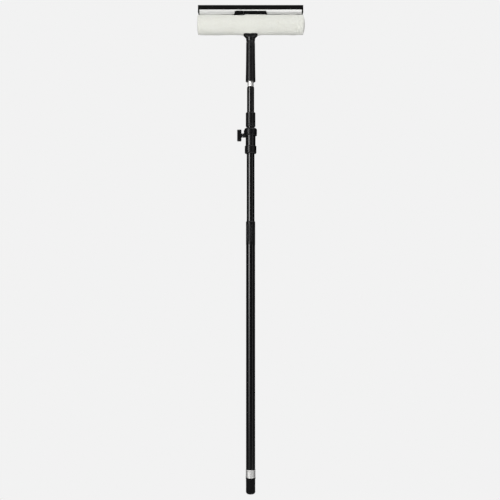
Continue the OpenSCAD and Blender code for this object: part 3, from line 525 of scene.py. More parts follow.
# The bracket's opening and the wider part of it that its latch swings in: start and end along the
# sleeve, and degrees round from the top
BRACKET_SLOT = (BRACKET_LO.x - 2.4 * MM, BRACKET_HI.x + 2.2 * MM)
LATCH_ROOM = (BRACKET_SLOT[0], LATCH_HI.x + 2.2 * MM)
SLOT_TURN = 22.5
LATCH_TURN = 36.0
# Half the length and half the width of the flare that the sleeve sits on at the neck, and how many
# times as far out the cloth starts to come down to it
FLARE_HALF = (20.0 * MM, 13.6 * MM)
FLARE_REACH = 1.8
# Seams round the sleeve, and degrees from the top to the one along it at the back
SEAMS = (SLEEVE_LO.x + 5.5 * MM, SLEEVE_HI.x - 23.5 * MM, SLEEVE_HI.x - 15.5 * MM)
BACK_SEAM_TURN = 130.0
# The padding is in three lengths, and these are the joints between them
PADDING_JOINTS = (-55 * MM, 55 * MM)
# Waves in the slack padding: their depth, how many to the metre, and where their pattern starts
SLACK_WAVES = ((0.15 * MM, 38, Vector((0, 0, 0))), (0.12 * MM, 120, Vector((7.1, 3.3, 9.2))))
# Creases that fan out from the neck: how far from it they are deepest, how far they fade, their number
CREASE_PLACE = 24 * MM
CREASE_FADE = 20 * MM
CREASE_COUNT = 9
# How far from its rim an opening rolls the fabric in, and how deep
SLOT_ROLL = (4.0 * MM, 1.4 * MM)
NECK_ROLL = (2.4 * MM, 0.8 * MM)
# Cloth this far from an opening is never near its rim
ROLL_SEARCH = 120 * MM
# Places round the sleeve, and the distance between its rings
SLEEVE_STEPS = 80
RING_PITCH = 2.25 * MM
# How deep the left end is dished, and the turn of the right end's edge into its crown
END_DISH = 0.4 * MM
RIGHT_EDGE_TURN = 60
# The sleeve's side is everything that is less than this below its full radius
SIDE_DEPTH = 1 * MM
# Room round the neck's hole for its rim, and the reach of the even mesh round it
NECK_MARGIN = 4 * MM
NECK_EVEN = 24 * MM
# Cloth this far in from the side is at an end of the sleeve, and in the middle of an end it stays put
END_DEPTH = 3 * MM
DISC_MIDDLE = 1 * MM
SETTLE_FRAMES = 20
# The lining's distance from the bar and from the sleeve's two ends
LINING_GAP = 0.6 * MM
LINING_ENDS = (3.6 * MM, 5.2 * MM)


def arc(x, radius, size, start, stop, steps):
    """Points (x, radius) on an arc from start to stop degrees, without the first of them."""
    turns = [math.radians(start + (stop - start) * i / steps) for i in range(1, steps + 1)]
    return [(x + size * math.cos(turn), radius + size * math.sin(turn)) for turn in turns]


def sleeve_outline(settings):
    """Points (x, radius) of the sleeve from its left end to its right end."""
    edge = settings.edge_round
    inside = SLEEVE_R - edge
    # The right end is crowned by as much as it stands further out than the left end
    bulge = SLEEVE_HI.x + SLEEVE_LO.x
    crown_r = (inside**2 + bulge**2) / (2 * bulge)
    crown_turn = math.degrees(math.asin(inside / crown_r))
    shares = [i / 8 for i in range(9)]
    points = [(SLEEVE_LO.x + END_DISH * math.cos(math.pi / 2 * share), inside * share) for share in shares]
    start, stop = SLEEVE_LO.x + edge, SLEEVE_HI.x - bulge - edge
    points += arc(start, inside, edge, 180, 90, 8)
    # A ring stands at each end of the openings
    x = start
    for target in (BRACKET_SLOT[0], LATCH_ROOM[1], BRACKET_SLOT[1], stop):
        count = max(1, round((target - x) / RING_PITCH))
        points += [(x + (target - x) * k / count, SLEEVE_R) for k in range(1, count + 1)]
        x = target
    points += arc(stop, inside, edge, 90, 90 - RIGHT_EDGE_TURN, 6)
    points += arc(SLEEVE_HI.x - crown_r, 0, crown_r, crown_turn, 0, 12)
    return points


def outwards(turn):
    """The direction away from the bar's axis at turn degrees from the top towards the back."""
    return Vector((0, math.sin(math.radians(turn)), math.cos(math.radians(turn))))


def turn_at(place):
    """Degrees from the top towards the back at a place round the bar's axis."""
    return math.degrees(math.atan2(place.y, place.z))


def seam_pull(x, turn, settings):
    """How far the seams draw the fabric in at x and at turn degrees from the top."""
    half = settings.seam_width / 2
    pull = max(math.exp(-(((x - seam) / half) ** 2)) for seam in SEAMS)
    if SEAMS[0] < x < SEAMS[1]:
        around = math.radians((turn - BACK_SEAM_TURN + 180) % 360 - 180) * SLEEVE_R
        pull = max(pull, math.exp(-((around / half) ** 2)))
    return pull * settings.seam_depth


def fabric_height(x, turn, settings):
    """Distance of the fabric from the bar's axis at x and at turn degrees from the top."""
    point = Vector((x, 0, 0)) + outwards(turn) * SLEEVE_R
    height = SLEEVE_R - settings.puff
    joints = (SEAMS[0], *PADDING_JOINTS, SEAMS[1])
    for a, b in zip(joints, joints[1:]):
        if a < x < b:
            height += settings.puff * math.sin(math.pi * (x - a) / (b - a)) ** 0.5
    height -= seam_pull(x, turn, settings)
    height += settings.crest * max(0.0, outwards(turn).z) ** 4
    for depth, waves, start in SLACK_WAVES:
        height += depth * noise.noise(point * waves + start)
    # The creases wander a little as they fan out
    below = math.radians(turn % 360 - 180) * SLEEVE_R
    fan = math.atan2(below, x)
    wander = 1.5 * noise.noise(Vector((fan, 2.0, 0.5)))
    fade = math.exp(-(((math.hypot(x, below) - CREASE_PLACE) / CREASE_FADE) ** 2))
    return height + settings.creases * fade * math.sin(fan * CREASE_COUNT + wander)


def in_slot(x, turn):
    """Whether a place on the sleeve is in the opening for the bracket and its latch."""
    spare, spare_turn = 0.01 * MM, 0.1
    if BRACKET_SLOT[0] - spare < x < BRACKET_SLOT[1] + spare and abs(turn) < SLOT_TURN + spare_turn:
        return True
    return LATCH_ROOM[0] - spare < x < LATCH_ROOM[1] + spare and -LATCH_TURN - spare_turn < turn < 0


def round_opening(rim):
    """Rounds an opening's corners: each place on its rim moves towards the middle of its two neighbours."""
    beside = {e.other_vert(v) for v in rim for e in v.link_edges} - set(rim)
    for _ in range(5):
        places = {}
        for v in rim:
            a, b = (e.other_vert(v).co for e in v.link_edges if e.is_boundary)
            places[v] = v.co.lerp((a + b) / 2, 0.5)
        for v in beside:
            middle = sum((e.other_vert(v).co for e in v.link_edges), Vector()) / len(v.link_edges)
            places[v] = v.co.lerp(middle, 0.4)
        for v, place in places.items():
            share = SLEEVE_R / math.hypot(place.y, place.z)
            v.co = (place.x, place.y * share, place.z * share)


def under_side(y):
    """Height of the sleeve's underside at y, from the bar's axis."""
    return -math.sqrt(max(SLEEVE_R**2 - y**2, 0))


def round_neck_hole(shell, rim, settings):
    """Makes the neck's hole a true circle, and evens out the mesh round it."""
    for v in rim:
        if v.co.z < 0 and v.co.xy.length < settings.neck_hole + NECK_MARGIN:
            flat = v.co.xy.normalized() * settings.neck_hole
            v.co = (flat.x, flat.y, under_side(flat.y))
    near = [v for v in shell.verts if v.co.z < 0 and v.co.xy.length < NECK_EVEN and v not in rim]
    for _ in range(6):
        bmesh.ops.smooth_vert(
            shell, verts=near, factor=0.5, use_axis_x=True, use_axis_y=True, use_axis_z=False
        )
    for v in near:
        v.co.z = under_side(v.co.y)


def sleeve_shell(settings):
    """The outer cloth as a spun tube with the openings for the bracket and the neck cut out."""
    shell = bmesh.new()
    outline = [shell.verts.new((x, 0, r)) for x, r in sleeve_outline(settings)]
    edges = [shell.edges.new(pair) for pair in zip(outline, outline[1:])]
    bmesh.ops.spin(
        shell,
        geom=outline + edges,
        cent=(0, 0, 0),
        axis=(1, 0, 0),
        angle=math.tau,
        steps=SLEEVE_STEPS,
        use_merge=True,
    )
    bmesh.ops.remove_doubles(shell, verts=shell.verts, dist=0.02 * MM)
    gone = []
    for face in shell.faces:
        middle = face.calc_center_median()
        on_side = middle.yz.length > SLEEVE_R - SIDE_DEPTH
        in_neck = middle.z < 0 and middle.xy.length < settings.neck_hole
        if in_neck or (on_side and in_slot(middle.x, turn_at(middle))):
            gone.append(face)
    bmesh.ops.delete(shell, geom=gone, context="FACES")
    rim = {v for e in shell.edges if e.is_boundary for v in e.verts}
    round_opening([v for v in rim if v.co.z > 0])
    round_neck_hole(shell, rim, settings)
    return shell


def shape_cloth(shell, settings):
    """Draws the fabric in at its seams, and rolls it in round the openings."""
    rims = [v.co.copy() for e in shell.edges if e.is_boundary for v in e.verts]
    openings = (
        ([r for r in rims if r.z > 0], *SLOT_ROLL),
        ([r for r in rims if r.z < 0], *NECK_ROLL),
    )
    for v in shell.verts:
        radius = v.co.yz.length
        if radius < DISC_MIDDLE:
            continue
        height = fabric_height(v.co.x, turn_at(v.co), settings) + radius - SLEEVE_R
        for rim, reach, depth in openings:
            if (v.co - rim[0]).length < ROLL_SEARCH:
                away = min((v.co - r).length for r in rim)
                height -= depth * max(0, 1 - away / reach) ** 2
        v.co.y *= height / radius
        v.co.z *= height / radius
        # The cloth comes down smoothly to the flare round the neck
        away = math.hypot(v.co.x / FLARE_HALF[0], v.co.y / FLARE_HALF[1])
        if v.co.z < 0 and away < FLARE_REACH:
            share = min(1.0, (FLARE_REACH - away) / (FLARE_REACH - 1))
            share = share * share * (3 - 2 * share)
            v.co.z += share * min(0.0, -0.1 * MM - SLEEVE_R - v.co.z)


def seam_hold(place, settings):
    """How firmly the cloth is held at a place, from 0, free, to 1, sewn."""
    if place.yz.length < SLEEVE_R - END_DEPTH or not SEAMS[0] < place.x < SEAMS[2]:
        return 1.0
    return min(1.0, 1.3 * seam_pull(place.x, turn_at(place), settings) / settings.seam_depth)


def settle_cloth(shell, settings):
    """Lets the slack cloth settle over its padding, held by its seams and by the rims of its openings."""
    scene = bpy.context.scene
    mesh = bpy.data.meshes.new("sleeve_settling")
    shell.to_mesh(mesh)
    cloth = bpy.data.objects.new("sleeve_settling", mesh)
    scene.collection.objects.link(cloth)
    held = cloth.vertex_groups.new(name="held")
    rim = {v.index for e in shell.edges if e.is_boundary for v in e.verts}
    rim |= {n.index for i in rim for e in shell.verts[i].link_edges for n in e.verts}
    for v in shell.verts:
        held.add([v.index], 1.0 if v.index in rim else seam_hold(v.co, settings), "REPLACE")
    modifier = cloth.modifiers.new("Cloth", "CLOTH")
    sim = modifier.settings
    sim.quality = 6
    sim.mass = 0.1
    sim.tension_stiffness = sim.compression_stiffness = 20
    sim.bending_stiffness = 0.05
    sim.shrink_min = -settings.slack
    sim.use_pressure = True
    sim.uniform_pressure_force = 4
    sim.vertex_group_mass = held.name
    sim.effector_weights.gravity = 0
    for step in range(1, SETTLE_FRAMES + 1):
        scene.frame_set(step)
    settled = cloth.evaluated_get(bpy.context.evaluated_depsgraph_get()).data.vertices
    for v, place in zip(shell.verts, settled):
        shift = place.co - v.co
        v.co += shift.normalized() * settings.settle * math.tanh(shift.length / settings.settle)
    bpy.data.objects.remove(cloth)
    bpy.data.meshes.remove(mesh)
    scene.frame_set(1)


def draw_in_lining(verts):
    """Draws the copy of the cloth in to the bar and to the sleeve's ends, where the lining lies."""
    inner_r = BAR_R + LINING_GAP
    left, right = SLEEVE_LO.x + LINING_ENDS[0], SLEEVE_HI.x - LINING_ENDS[1]
    for v in verts:
        radius = v.co.yz.length
        if radius > inner_r:
            v.co.y *= inner_r / radius
            v.co.z *= inner_r / radius
        v.co.x = max(left, min(right, v.co.x))


def sleeve_cover(settings, cloth, lining):
    """The padded sleeve: a shell of pile cloth outside and woven lining inside."""
    shell = sleeve_shell(settings)
    shape_cloth(shell, settings)
    shell.verts.index_update()
    shell.verts.ensure_lookup_table()
    settle_cloth(shell, settings)
    bmesh.ops.subdivide_edges(shell, edges=shell.edges, cuts=1, smooth=1.0, use_grid_fill=True)
    bmesh.ops.recalc_face_normals(shell, faces=shell.faces)
    outer_rim = [e for e in shell.edges if e.is_boundary]
    for e in outer_rim:
        e.seam = e.verts[0].co.z > 0
    copy = bmesh.ops.duplicate(shell, geom=list(shell.faces))
    inner = [g for g in copy["geom"] if isinstance(g, bmesh.types.BMFace)]
    inner_verts = {v for f in inner for v in f.verts}
    draw_in_lining(inner_verts)
    bmesh.ops.reverse_faces(shell, faces=inner)
    inner_rim = [e for e in shell.edges if e.is_boundary and e.verts[0] in inner_verts]
    # One call joins all four rims, so it also leaves a run of faces between the two openings, which
    # lies inside the bar
    bridge = bmesh.ops.bridge_loops(shell, edges=outer_rim + inner_rim)["faces"]
    for f in inner + bridge:
        f.material_index = 1
    bmesh.ops.translate(shell, verts=shell.verts, vec=(0, 0, AXIS_Z))
    bmesh.ops.dissolve_degenerate(shell, dist=0.005 * MM, edges=shell.edges)
    piece = sleeve_piece("washer_sleeve_cover", shell, cloth)
    piece.data.materials.append(lining)
    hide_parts("washer_sleeve")
    return piece


# ------------------------------------------------------------------ binding and stitching

# The tape's thickness, and how far it stands off the cloth at its edge and elsewhere
TAPE_THICKNESS = 0.8 * MM
TAPE_EDGE_LIFT = 0.1 * MM
TAPE_LIFT = 0.5 * MM
# The tape's seam is two thirds of its width away from the rim
TAPE_SEAM = 0.66
# From one stitch to the next, in stitches, and half the thread's thickness and its height off the cloth
STITCH_PITCH = 1.3
THREAD_R = 0.35 * MM
THREAD_LIFT = 0.1 * MM


def on_rim(v):
    """Whether a place on the cover is on the rim of the blade's opening."""
    return any(e.seam for e in v.link_edges)


def opening_binding(cover, settings, tape):
    """Tape along the rim of the blade's opening: a band that lies on the cloth and ends at the slot."""
    band = bmesh.new()
    band.from_mesh(cover.data)
    rim = [v for v in band.verts if on_rim(v)]
    places = KDTree(len(rim))
    for i, v in enumerate(rim):
        places.insert(v.co, i)
    places.balance()
    away = {v: places.find(v.co)[2] for v in band.verts}
    spare = [f for f in band.faces if f.material_index or max(away[v] for v in f.verts) > settings.binding]
    bmesh.ops.delete(band, geom=spare, context="FACES")
    band.normal_update()
    for v in band.verts:
        v.co += v.normal * (TAPE_EDGE_LIFT if v.is_boundary and not on_rim(v) else TAPE_LIFT)
    bmesh.ops.solidify(band, geom=band.faces, thickness=TAPE_THICKNESS)
    bmesh.ops.recalc_face_normals(band, faces=band.faces)
    return sleeve_piece("binding_blade_opening", band, tape)


def rim_loop(cover):
    """The rim of the blade's opening as a closed run of places, one after the other."""
    mesh = bmesh.new()
    mesh.from_mesh(cover.data)
    start = max((v for v in mesh.verts if on_rim(v)), key=lambda v: v.co.x)
    loop, v, edge = [], start, None
    while not loop or v != start:
        loop.append(v.co.copy())
        edge = next(e for e in v.link_edges if e.seam and e != edge)
        v = edge.other_vert(v)
    mesh.free()
    return loop


def stitch_bead(seam, place, along, outward, settings):
    """One stitch: a small drawn-out bead that lies along its seam, just off the cloth."""
    side = outward.cross(along).normalized()
    basis = Matrix((along, side, outward)).transposed().to_4x4()
    size = Matrix.Diagonal((settings.stitch / 2, THREAD_R, THREAD_R, 1))
    matrix = Matrix.Translation(place + outward * THREAD_LIFT) @ basis @ size
    bmesh.ops.create_icosphere(seam, subdivisions=1, radius=1.0, matrix=matrix)


def opening_stitches(seam, cover, band, settings):
    """Stitches that hold the tape down all round the blade's opening."""
    loop = rim_loop(cover)
    mesh = band.data
    surface = BVHTree.FromPolygons([v.co for v in mesh.vertices], [p.vertices for p in mesh.polygons])
    run, aside = [], None
    for i, place in enumerate(loop):
        along = (loop[(i + 1) % len(loop)] - loop[i - 1]).normalized()
        out = along.cross(Vector((0, place.y, place.z - AXIS_Z))).normalized()
        aside = aside or math.copysign(1.0, out.x)
        run.append(place + out * aside * TAPE_SEAM * settings.binding)
    gone = 0.0
    for a, b in zip(run, run[1:] + run[:1]):
        step = (b - a).length
        while gone < step:
            place, outward, _, _ = surface.find_nearest(a.lerp(b, gone / step))
            stitch_bead(seam, place, (b - a).normalized(), outward, settings)
            gone += STITCH_PITCH * settings.stitch
        gone -= step


def ring_stitches(seam, x, settings):
    """Stitches once round the sleeve at x."""
    radius = SLEEVE_R - settings.puff - settings.seam_depth
    count = int(math.tau * radius / (STITCH_PITCH * settings.stitch))
    for i in range(count):
        turn = 360 * i / count
        place = Vector((x, 0, AXIS_Z)) + outwards(turn) * fabric_height(x, turn, settings)
        stitch_bead(seam, place, outwards(turn + 90), outwards(turn), settings)


def length_stitches(seam, settings):
    """Stitches along the seam that closes the sleeve's tube at the back."""
    outward = outwards(BACK_SEAM_TURN)
    run = SEAMS[1] - SEAMS[0]
    count = int(run / (STITCH_PITCH * settings.stitch))
    for i in range(1, count):
        x = SEAMS[0] + run * i / count
        place = Vector((x, 0, AXIS_Z)) + outward * fabric_height(x, BACK_SEAM_TURN, settings)
        stitch_bead(seam, place, Vector((1, 0, 0)), outward, settings)


# ------------------------------------------------------------------ operators


class SQUEEGEE_OT_sleeve(bpy.types.Operator):
    """Builds the padded washer sleeve in place of its plain solid"""

    bl_idname = "squeegee.sleeve"
    bl_label = "Washer Sleeve"

    def execute(self, context):
        settings = context.scene.squeegee_sleeve
        # The lining is woven and hardly shines; its yarns are 0.8 mm apart
        lining = moulded_plastic("woven_polyester_lining", settings.lining, 0.8 * MM, 0.85, 0.1, 1.05)
        sleeve_cover(settings, microfibre(settings), lining)
        return {"FINISHED"}


class SQUEEGEE_OT_stitching(bpy.types.Operator):
    """Sews the seams of the washer sleeve"""

    bl_idname = "squeegee.stitching"
    bl_label = "Sleeve Stitching"

    def execute(self, context):
        settings = context.scene.squeegee_sleeve
        thread = sewing_thread(settings)
        for name, x in zip(("seam_left", "seam_band_inner", "seam_band_outer"), SEAMS):
            seam = bmesh.new()
            ring_stitches(seam, x, settings)
            sleeve_piece("stitching_" + name, seam, thread)
        seam = bmesh.new()
        length_stitches(seam, settings)
        sleeve_piece("stitching_seam_back", seam, thread)
        return {"FINISHED"}


class SQUEEGEE_OT_binding(bpy.types.Operator):
    """Binds the blade's opening in the washer sleeve with tape, and sews the tape down"""

    bl_idname = "squeegee.binding"
    bl_label = "Opening Binding"

    def execute(self, context):
        settings = context.scene.squeegee_sleeve
        cover = bpy.data.objects["washer_sleeve_cover"]
        band = opening_binding(cover, settings, woven_tape(settings))
        seam = bmesh.new()
        opening_stitches(seam, cover, band, settings)
        sleeve_piece("stitching_blade_opening", seam, bpy.data.materials["spun_polyester_thread"])
        return {"FINISHED"}


class SQUEEGEE_OT_pole_finish(bpy.types.Operator):
    """Gives the pole, the clamp and the grip their finishes"""

    bl_idname = "squeegee.pole_finish"
    bl_label = "Pole Finishes"

    def execute(self, context):
        pole = context.scene.squeegee_pole
        black, grain = pole.plastic, pole.grain
        enamel = stove_enamel(pole)
        # Nylon and ABS take a shine from the mould, and polypropylene stays waxy
        collar = moulded_plastic("moulded_nylon_black", black, grain, 0.27, 0.32)
        guide = moulded_plastic("moulded_nylon_guide_collar", black, grain, 0.27, 0.25)
        cap = moulded_plastic("moulded_polypropylene_black", black, grain, 0.3, 0.13)
        barrel = moulded_plastic("moulded_abs_black", black, 0.6 * grain, 0.25, 0.52)
        knob = moulded_plastic("moulded_abs_wing_knob", black, grain, 0.28, 0.18)
        # Soft rubber has a coarser grain, and hardly shows wear
        grip = moulded_plastic("thermoplastic_rubber_grip", pole.grip, 1.4 * grain, 0.26, 0.32, 1.2)
        acetal = moulded_plastic("acetal_natural", pole.acetal, grain, 0.4, 0.4, 1.05)
        # Nickel over turned steel is a soft bright grey, and zinc is bluer and darker
        nickel = plated_steel("nickel_plated_steel", pole.nickel, 0.44, 0.25 * MM)
        zinc = plated_steel("zinc_plated_steel", pole.zinc, 0.34, 0.3 * MM)
        spring = plated_steel("spring_steel_strip", pole.spring, 0.3, 0.5 * MM)
        brass = plated_steel("turned_brass", pole.brass, 0.3, 0.25 * MM)
        finish_nodes(
            {
                enamel: ["outer_tube", "inner_tube", "upper_tube"],
                collar: ["clamp_base", "stop_collar", "lock_spindle"],
                guide: ["guide_collar", "clamp_ring"],
                cap: ["end_cap", "tube_cap", "snap_button"],
                barrel: ["clamp_barrel"],
                knob: ["clamp_knob"],
                grip: ["handle_grip"],
                acetal: ["expander_jaws", "cone_nut", "pressure_pad", "split_bush", "guide_plug"],
                nickel: ["end_ferrule", "pole_tip"],
                zinc: ["spindle_stop", "clamp_screw"],
                spring: ["button_spring"],
                brass: ["thread_insert"],
            }
        )
        return {"FINISHED"}


class SQUEEGEE_OT_head_finish(bpy.types.Operator):
    """Gives the head, the bracket and the blade their finishes"""

    bl_idname = "squeegee.head_finish"
    bl_label = "Head and Blade Finishes"

    def execute(self, context):
        pole, blade = context.scene.squeegee_pole, context.scene.squeegee_blade
        grain = pole.grain
        head = moulded_plastic("moulded_polypropylene_head", pole.plastic, grain, 0.2, 0.5)
        # Glass fibres make the nylon duller and darker than the head
        dark = scaled(pole.plastic, 0.7)
        bracket = moulded_plastic("glass_filled_nylon_bracket", dark, grain, 0.4, 0.05)
        clip = moulded_plastic("moulded_clip_plastic", blade.clip, 0.7 * grain, 0.4, 0.1)
        zinc = plated_steel("zinc_plated_screws", pole.zinc, 0.34, 0.3 * MM)
        finish_nodes(
            {
                head: ["head_body", "end_plug_left", "end_plug_right"],
                bracket: ["blade_bracket", "blade_latch"],
                clip: ["end_clip_left", "end_clip_right"],
                zinc: ["bracket_screws", "latch_pin"],
                anodised_aluminium(blade): ["blade_channel"],
                blade_rubber(blade): ["rubber_blade"],
            }
        )
        return {"FINISHED"}


# ------------------------------------------------------------------ studio

# Height in metres and share of a strip's power. The key is dimmed towards the foot of the pole
KEY_LEVELS = (
    (-0.9, 0.02), (-0.34, 0.038), (-0.13, 0.094), (0.05, 0.16), (0.29, 0.21), (0.52, 0.36),
    (0.71, 0.46), (0.95, 0.6), (1.3, 0.55), (1.5, 0.62), (1.8, 0.3), (2.3, 0.3),
)
FILL_LEVELS = ((-0.9, 0.2), (0.6, 0.2), (1.1, 0.31), (2.3, 0.31))
# Half the length of the floor's side, and the size of its paper's clouds, in metres
FLOOR_HALF = 12
FLOOR_CLOUD = 1 / 3


def around_pole(azimuth, distance, height):
    """A place in metres: azimuth degrees to the right of the camera, and distance from the pole's axis."""
    turn = math.radians(azimuth)
    return Vector((distance * math.sin(turn), -distance * math.cos(turn), height))


def studio_light(name, azimuth, distance, height, size, watts, tilt):
    """A soft rectangular light that faces the pole, and looks up by tilt degrees."""
    light = bpy.data.lights.new(name, "AREA")
    light.shape = "RECTANGLE"
    light.size, light.size_y = size
    light.energy = watts
    lamp = bpy.data.objects.new(name, light)
    lamp.location = around_pole(azimuth, distance, height)
    lamp.rotation_euler = (math.radians(90 + tilt), 0, math.radians(azimuth))
    lamp.visible_camera = False
    bpy.context.scene.collection.objects.link(lamp)
    return lamp


def strip_light(name, azimuth, distance, width, watts, levels):
    """A tall strip that only shiny surfaces see, with its share of power set at a few heights."""
    low, high = levels[0][0], levels[-1][0]
    material = bpy.data.materials.new(name)
    tree = empty_tree(material)
    place = add_node(tree, "ShaderNodeTexCoord").outputs["Object"]
    height = add_node(tree, "ShaderNodeSeparateXYZ", {0: place}).outputs["Z"]
    along = add_node(
        tree, "ShaderNodeMapRange", {"Value": height, "From Min": low, "From Max": high}
    ).outputs[0]
    ramp = add_node(tree, "ShaderNodeValToRGB", {"Fac": along})
    stops = ramp.color_ramp.elements
    stops.remove(stops[-1])
    for number, (z, level) in enumerate(levels):
        share = (z - low) / (high - low)
        stop = stops.new(share) if number else stops[0]
        stop.position = share
        stop.color = (level, level, level, 1.0)
    # At a level of 1 the strip gives its watts from each metre of its height
    strength = watts / (math.pi * width)
    glow = add_node(
        tree, "ShaderNodeEmission", {"Color": ramp.outputs["Color"], "Strength": strength}
    ).outputs[0]
    add_node(tree, "ShaderNodeOutputMaterial", {"Surface": glow})
    panel = bmesh.new()
    bmesh.ops.create_grid(panel, x_segments=1, y_segments=1, size=0.5)
    seat = Matrix.Translation(around_pole(azimuth, distance, (low + high) / 2))
    stand = Matrix.Rotation(math.radians(azimuth), 4, "Z") @ Matrix.Rotation(math.radians(90), 4, "X")
    size = Matrix.Diagonal((width, high - low, 1, 1))
    bmesh.ops.transform(panel, verts=panel.verts, matrix=seat @ stand @ size)
    strip = link_mesh(name, panel, material)
    strip.visible_camera = strip.visible_diffuse = strip.visible_shadow = False


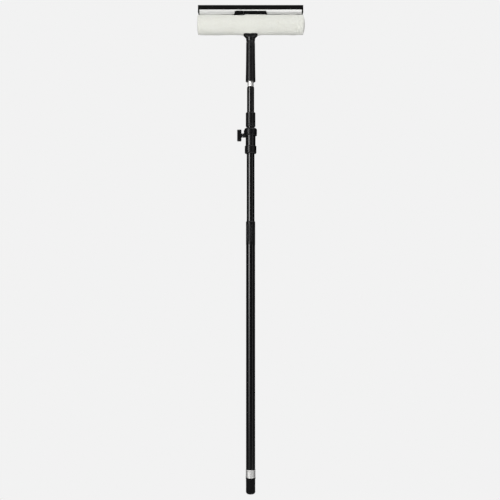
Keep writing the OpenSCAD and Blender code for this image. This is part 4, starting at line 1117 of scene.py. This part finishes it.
class SQUEEGEE_OT_stage(bpy.types.Operator):
    """Builds the floor, the backdrop, the soft lights and the camera"""

    bl_idname = "squeegee.stage"
    bl_label = "Studio Stage"

    def execute(self, context):
        settings = context.scene.squeegee_stage
        context.scene.view_settings.view_transform = "Standard"
        self.floor(settings)
        self.room(context.scene, settings)
        self.lights(settings)
        self.camera(context.scene, settings)
        return {"FINISHED"}

    def lights(self, s):
        """Strips that draw the pole's two highlights, and soft boxes for the head and the fabric."""
        strip_light("key_strip", azimuth=-38.5, distance=1.7, width=0.7, watts=s.key, levels=KEY_LEVELS)
        strip_light("fill_strip", azimuth=50, distance=1.9, width=0.38, watts=s.fill, levels=FILL_LEVELS)
        front = studio_light(
            "front_box", azimuth=-14, distance=2.4, height=1.1, size=(1.3, 1.5), watts=s.front, tilt=5
        )
        board = studio_light(
            "white_board", azimuth=0, distance=1.5, height=0.3, size=(1.2, 0.8), watts=s.board, tilt=34
        )
        front.visible_glossy = board.visible_glossy = False
        studio_light(
            "high_box", azimuth=42, distance=1.6, height=3.0, size=(1.0, 0.8), watts=s.high, tilt=-46
        )
        studio_light(
            "back_box", azimuth=180, distance=1.4, height=3.3, size=(1.6, 1.2), watts=s.back, tilt=-52
        )

    def camera(self, scene, settings):
        """The camera in front of the pole, below its middle and looking up a little."""
        camera_data = bpy.data.cameras.new("studio_camera")
        camera_data.sensor_width = 36
        camera_data.lens = settings.lens
        camera_data.clip_end = 100
        camera = bpy.data.objects.new("studio_camera", camera_data)
        camera.location = (settings.aside, -settings.distance, settings.eye)
        camera.rotation_euler = (math.pi / 2 + settings.pitch, 0, 0)
        scene.collection.objects.link(camera)
        scene.camera = camera

    def floor(self, settings):
        """A wide paper floor that shows as the plain backdrop and takes no shadow."""
        material = bpy.data.materials.new("matt_paper_floor")
        tree = empty_tree(material)
        place = add_node(tree, "ShaderNodeTexCoord").outputs["Object"]
        # The paper is very slightly cloudy
        cloud = add_node(
            tree, "ShaderNodeTexNoise", {"Vector": place, "Scale": 1 / FLOOR_CLOUD}
        ).outputs["Fac"]
        light, dark = scaled(settings.backdrop, 1.002), scaled(settings.backdrop, 0.998)
        paper = add_node(tree, "ShaderNodeMix", {0: cloud, 6: dark, 7: light}, data_type="RGBA").outputs[2]
        glow = add_node(tree, "ShaderNodeEmission", {"Color": paper, "Strength": 1.0}).outputs[0]
        add_node(tree, "ShaderNodeOutputMaterial", {"Surface": glow})
        ground = bmesh.new()
        cuts = settings.floor_cuts
        bmesh.ops.create_grid(ground, x_segments=cuts, y_segments=cuts, size=FLOOR_HALF)
        floor = link_mesh("studio_floor", ground, material)
        floor.visible_glossy = floor.visible_diffuse = floor.visible_shadow = False

    def room(self, scene, settings):
        """A room that lights the object from all round, and that the camera sees as the plain backdrop."""
        world = bpy.data.worlds.new("studio_room")
        scene.world = world
        tree = empty_tree(world)
        backdrop = list(settings.backdrop)
        seen = add_node(tree, "ShaderNodeBackground", {"Color": backdrop, "Strength": 1.0}).outputs[0]
        toward = add_node(tree, "ShaderNodeTexCoord").outputs["Generated"]
        part = add_node(tree, "ShaderNodeSeparateXYZ", {0: toward})
        # White paper above and below, with walls that are dark at the object's own height
        steep = add_node(tree, "ShaderNodeMath", {0: part.outputs["Z"]}, operation="ABSOLUTE").outputs[0]
        white = add_node(
            tree,
            "ShaderNodeMapRange",
            {"Value": steep, "From Min": 0.3, "From Max": 0.8, "To Min": 0.1, "To Max": 2.6},
        ).outputs[0]
        # The paper in front of the object begins at a clear edge, and is brightest near it
        edge = add_node(
            tree,
            "ShaderNodeMapRange",
            {"Value": part.outputs["Z"], "From Min": -0.245, "From Max": -0.3, "To Min": 0.1, "To Max": 1.8},
        ).outputs[0]
        near = add_node(
            tree,
            "ShaderNodeMapRange",
            {"Value": part.outputs["Z"], "From Min": -0.3, "From Max": -0.8, "To Min": 0.0, "To Max": 0.7},
        ).outputs[0]
        below = add_node(tree, "ShaderNodeMath", {0: edge, 1: near}, operation="ADD").outputs[0]
        level = add_node(tree, "ShaderNodeMath", {0: white, 1: below}, operation="MAXIMUM").outputs[0]
        # A dark wall behind the pole keeps its edges black
        wall = add_node(
            tree,
            "ShaderNodeMapRange",
            {"Value": part.outputs["Y"], "From Min": -0.1, "From Max": 0.5, "To Min": 1.0, "To Max": 0.12},
        ).outputs[0]
        share = add_node(tree, "ShaderNodeMath", {0: level, 1: wall}, operation="MULTIPLY").outputs[0]
        strength = add_node(
            tree, "ShaderNodeMath", {0: share, 1: settings.ambient}, operation="MULTIPLY"
        ).outputs[0]
        room = add_node(
            tree, "ShaderNodeBackground", {"Color": (1, 1, 1, 1), "Strength": strength}
        ).outputs[0]
        straight = add_node(tree, "ShaderNodeLightPath").outputs["Is Camera Ray"]
        mix = add_node(tree, "ShaderNodeMixShader", {0: straight, 1: room, 2: seen}).outputs[0]
        add_node(tree, "ShaderNodeOutputWorld", {"Surface": mix})


class SQUEEGEE_PT_panel(bpy.types.Panel):
    """Lists the pieces of the squeegee and their settings"""

    bl_idname = "SQUEEGEE_PT_panel"
    bl_label = "Window Squeegee"
    bl_space_type = "VIEW_3D"
    bl_region_type = "UI"
    bl_category = "Squeegee"

    def draw(self, context):
        for operator in OPERATORS:
            self.layout.operator(operator.bl_idname)
        for name in SETTINGS:
            group = getattr(context.scene, name)
            box = self.layout.box()
            for key in group.bl_rna.properties.keys():
                if key not in ("rna_type", "name"):
                    box.prop(group, key)


SETTINGS = {
    "squeegee_sleeve": SqueegeeSleeveSettings,
    "squeegee_pole": SqueegeePoleSettings,
    "squeegee_blade": SqueegeeBladeSettings,
    "squeegee_stage": SqueegeeStageSettings,
}
OPERATORS = (
    SQUEEGEE_OT_stage,
    SQUEEGEE_OT_sleeve,
    SQUEEGEE_OT_stitching,
    SQUEEGEE_OT_binding,
    SQUEEGEE_OT_pole_finish,
    SQUEEGEE_OT_head_finish,
)


def register():
    """Registers the classes, and hangs the settings on the scene."""
    for cls in (*SETTINGS.values(), *OPERATORS, SQUEEGEE_PT_panel):
        bpy.utils.register_class(cls)
    for name, group in SETTINGS.items():
        setattr(bpy.types.Scene, name, PointerProperty(type=group))


def unregister():
    """Takes the settings off the scene, and the classes out in reverse order."""
    for name in SETTINGS:
        delattr(bpy.types.Scene, name)
    for cls in reversed((*SETTINGS.values(), *OPERATORS, SQUEEGEE_PT_panel)):
        bpy.utils.unregister_class(cls)


def main():
    """Builds everything round the frame."""
    register()
    bpy.ops.squeegee.stage()
    bpy.ops.squeegee.sleeve()
    bpy.ops.squeegee.stitching()
    bpy.ops.squeegee.binding()
    bpy.ops.squeegee.pole_finish()
    bpy.ops.squeegee.head_finish()


if __name__ == "__main__":
    main()
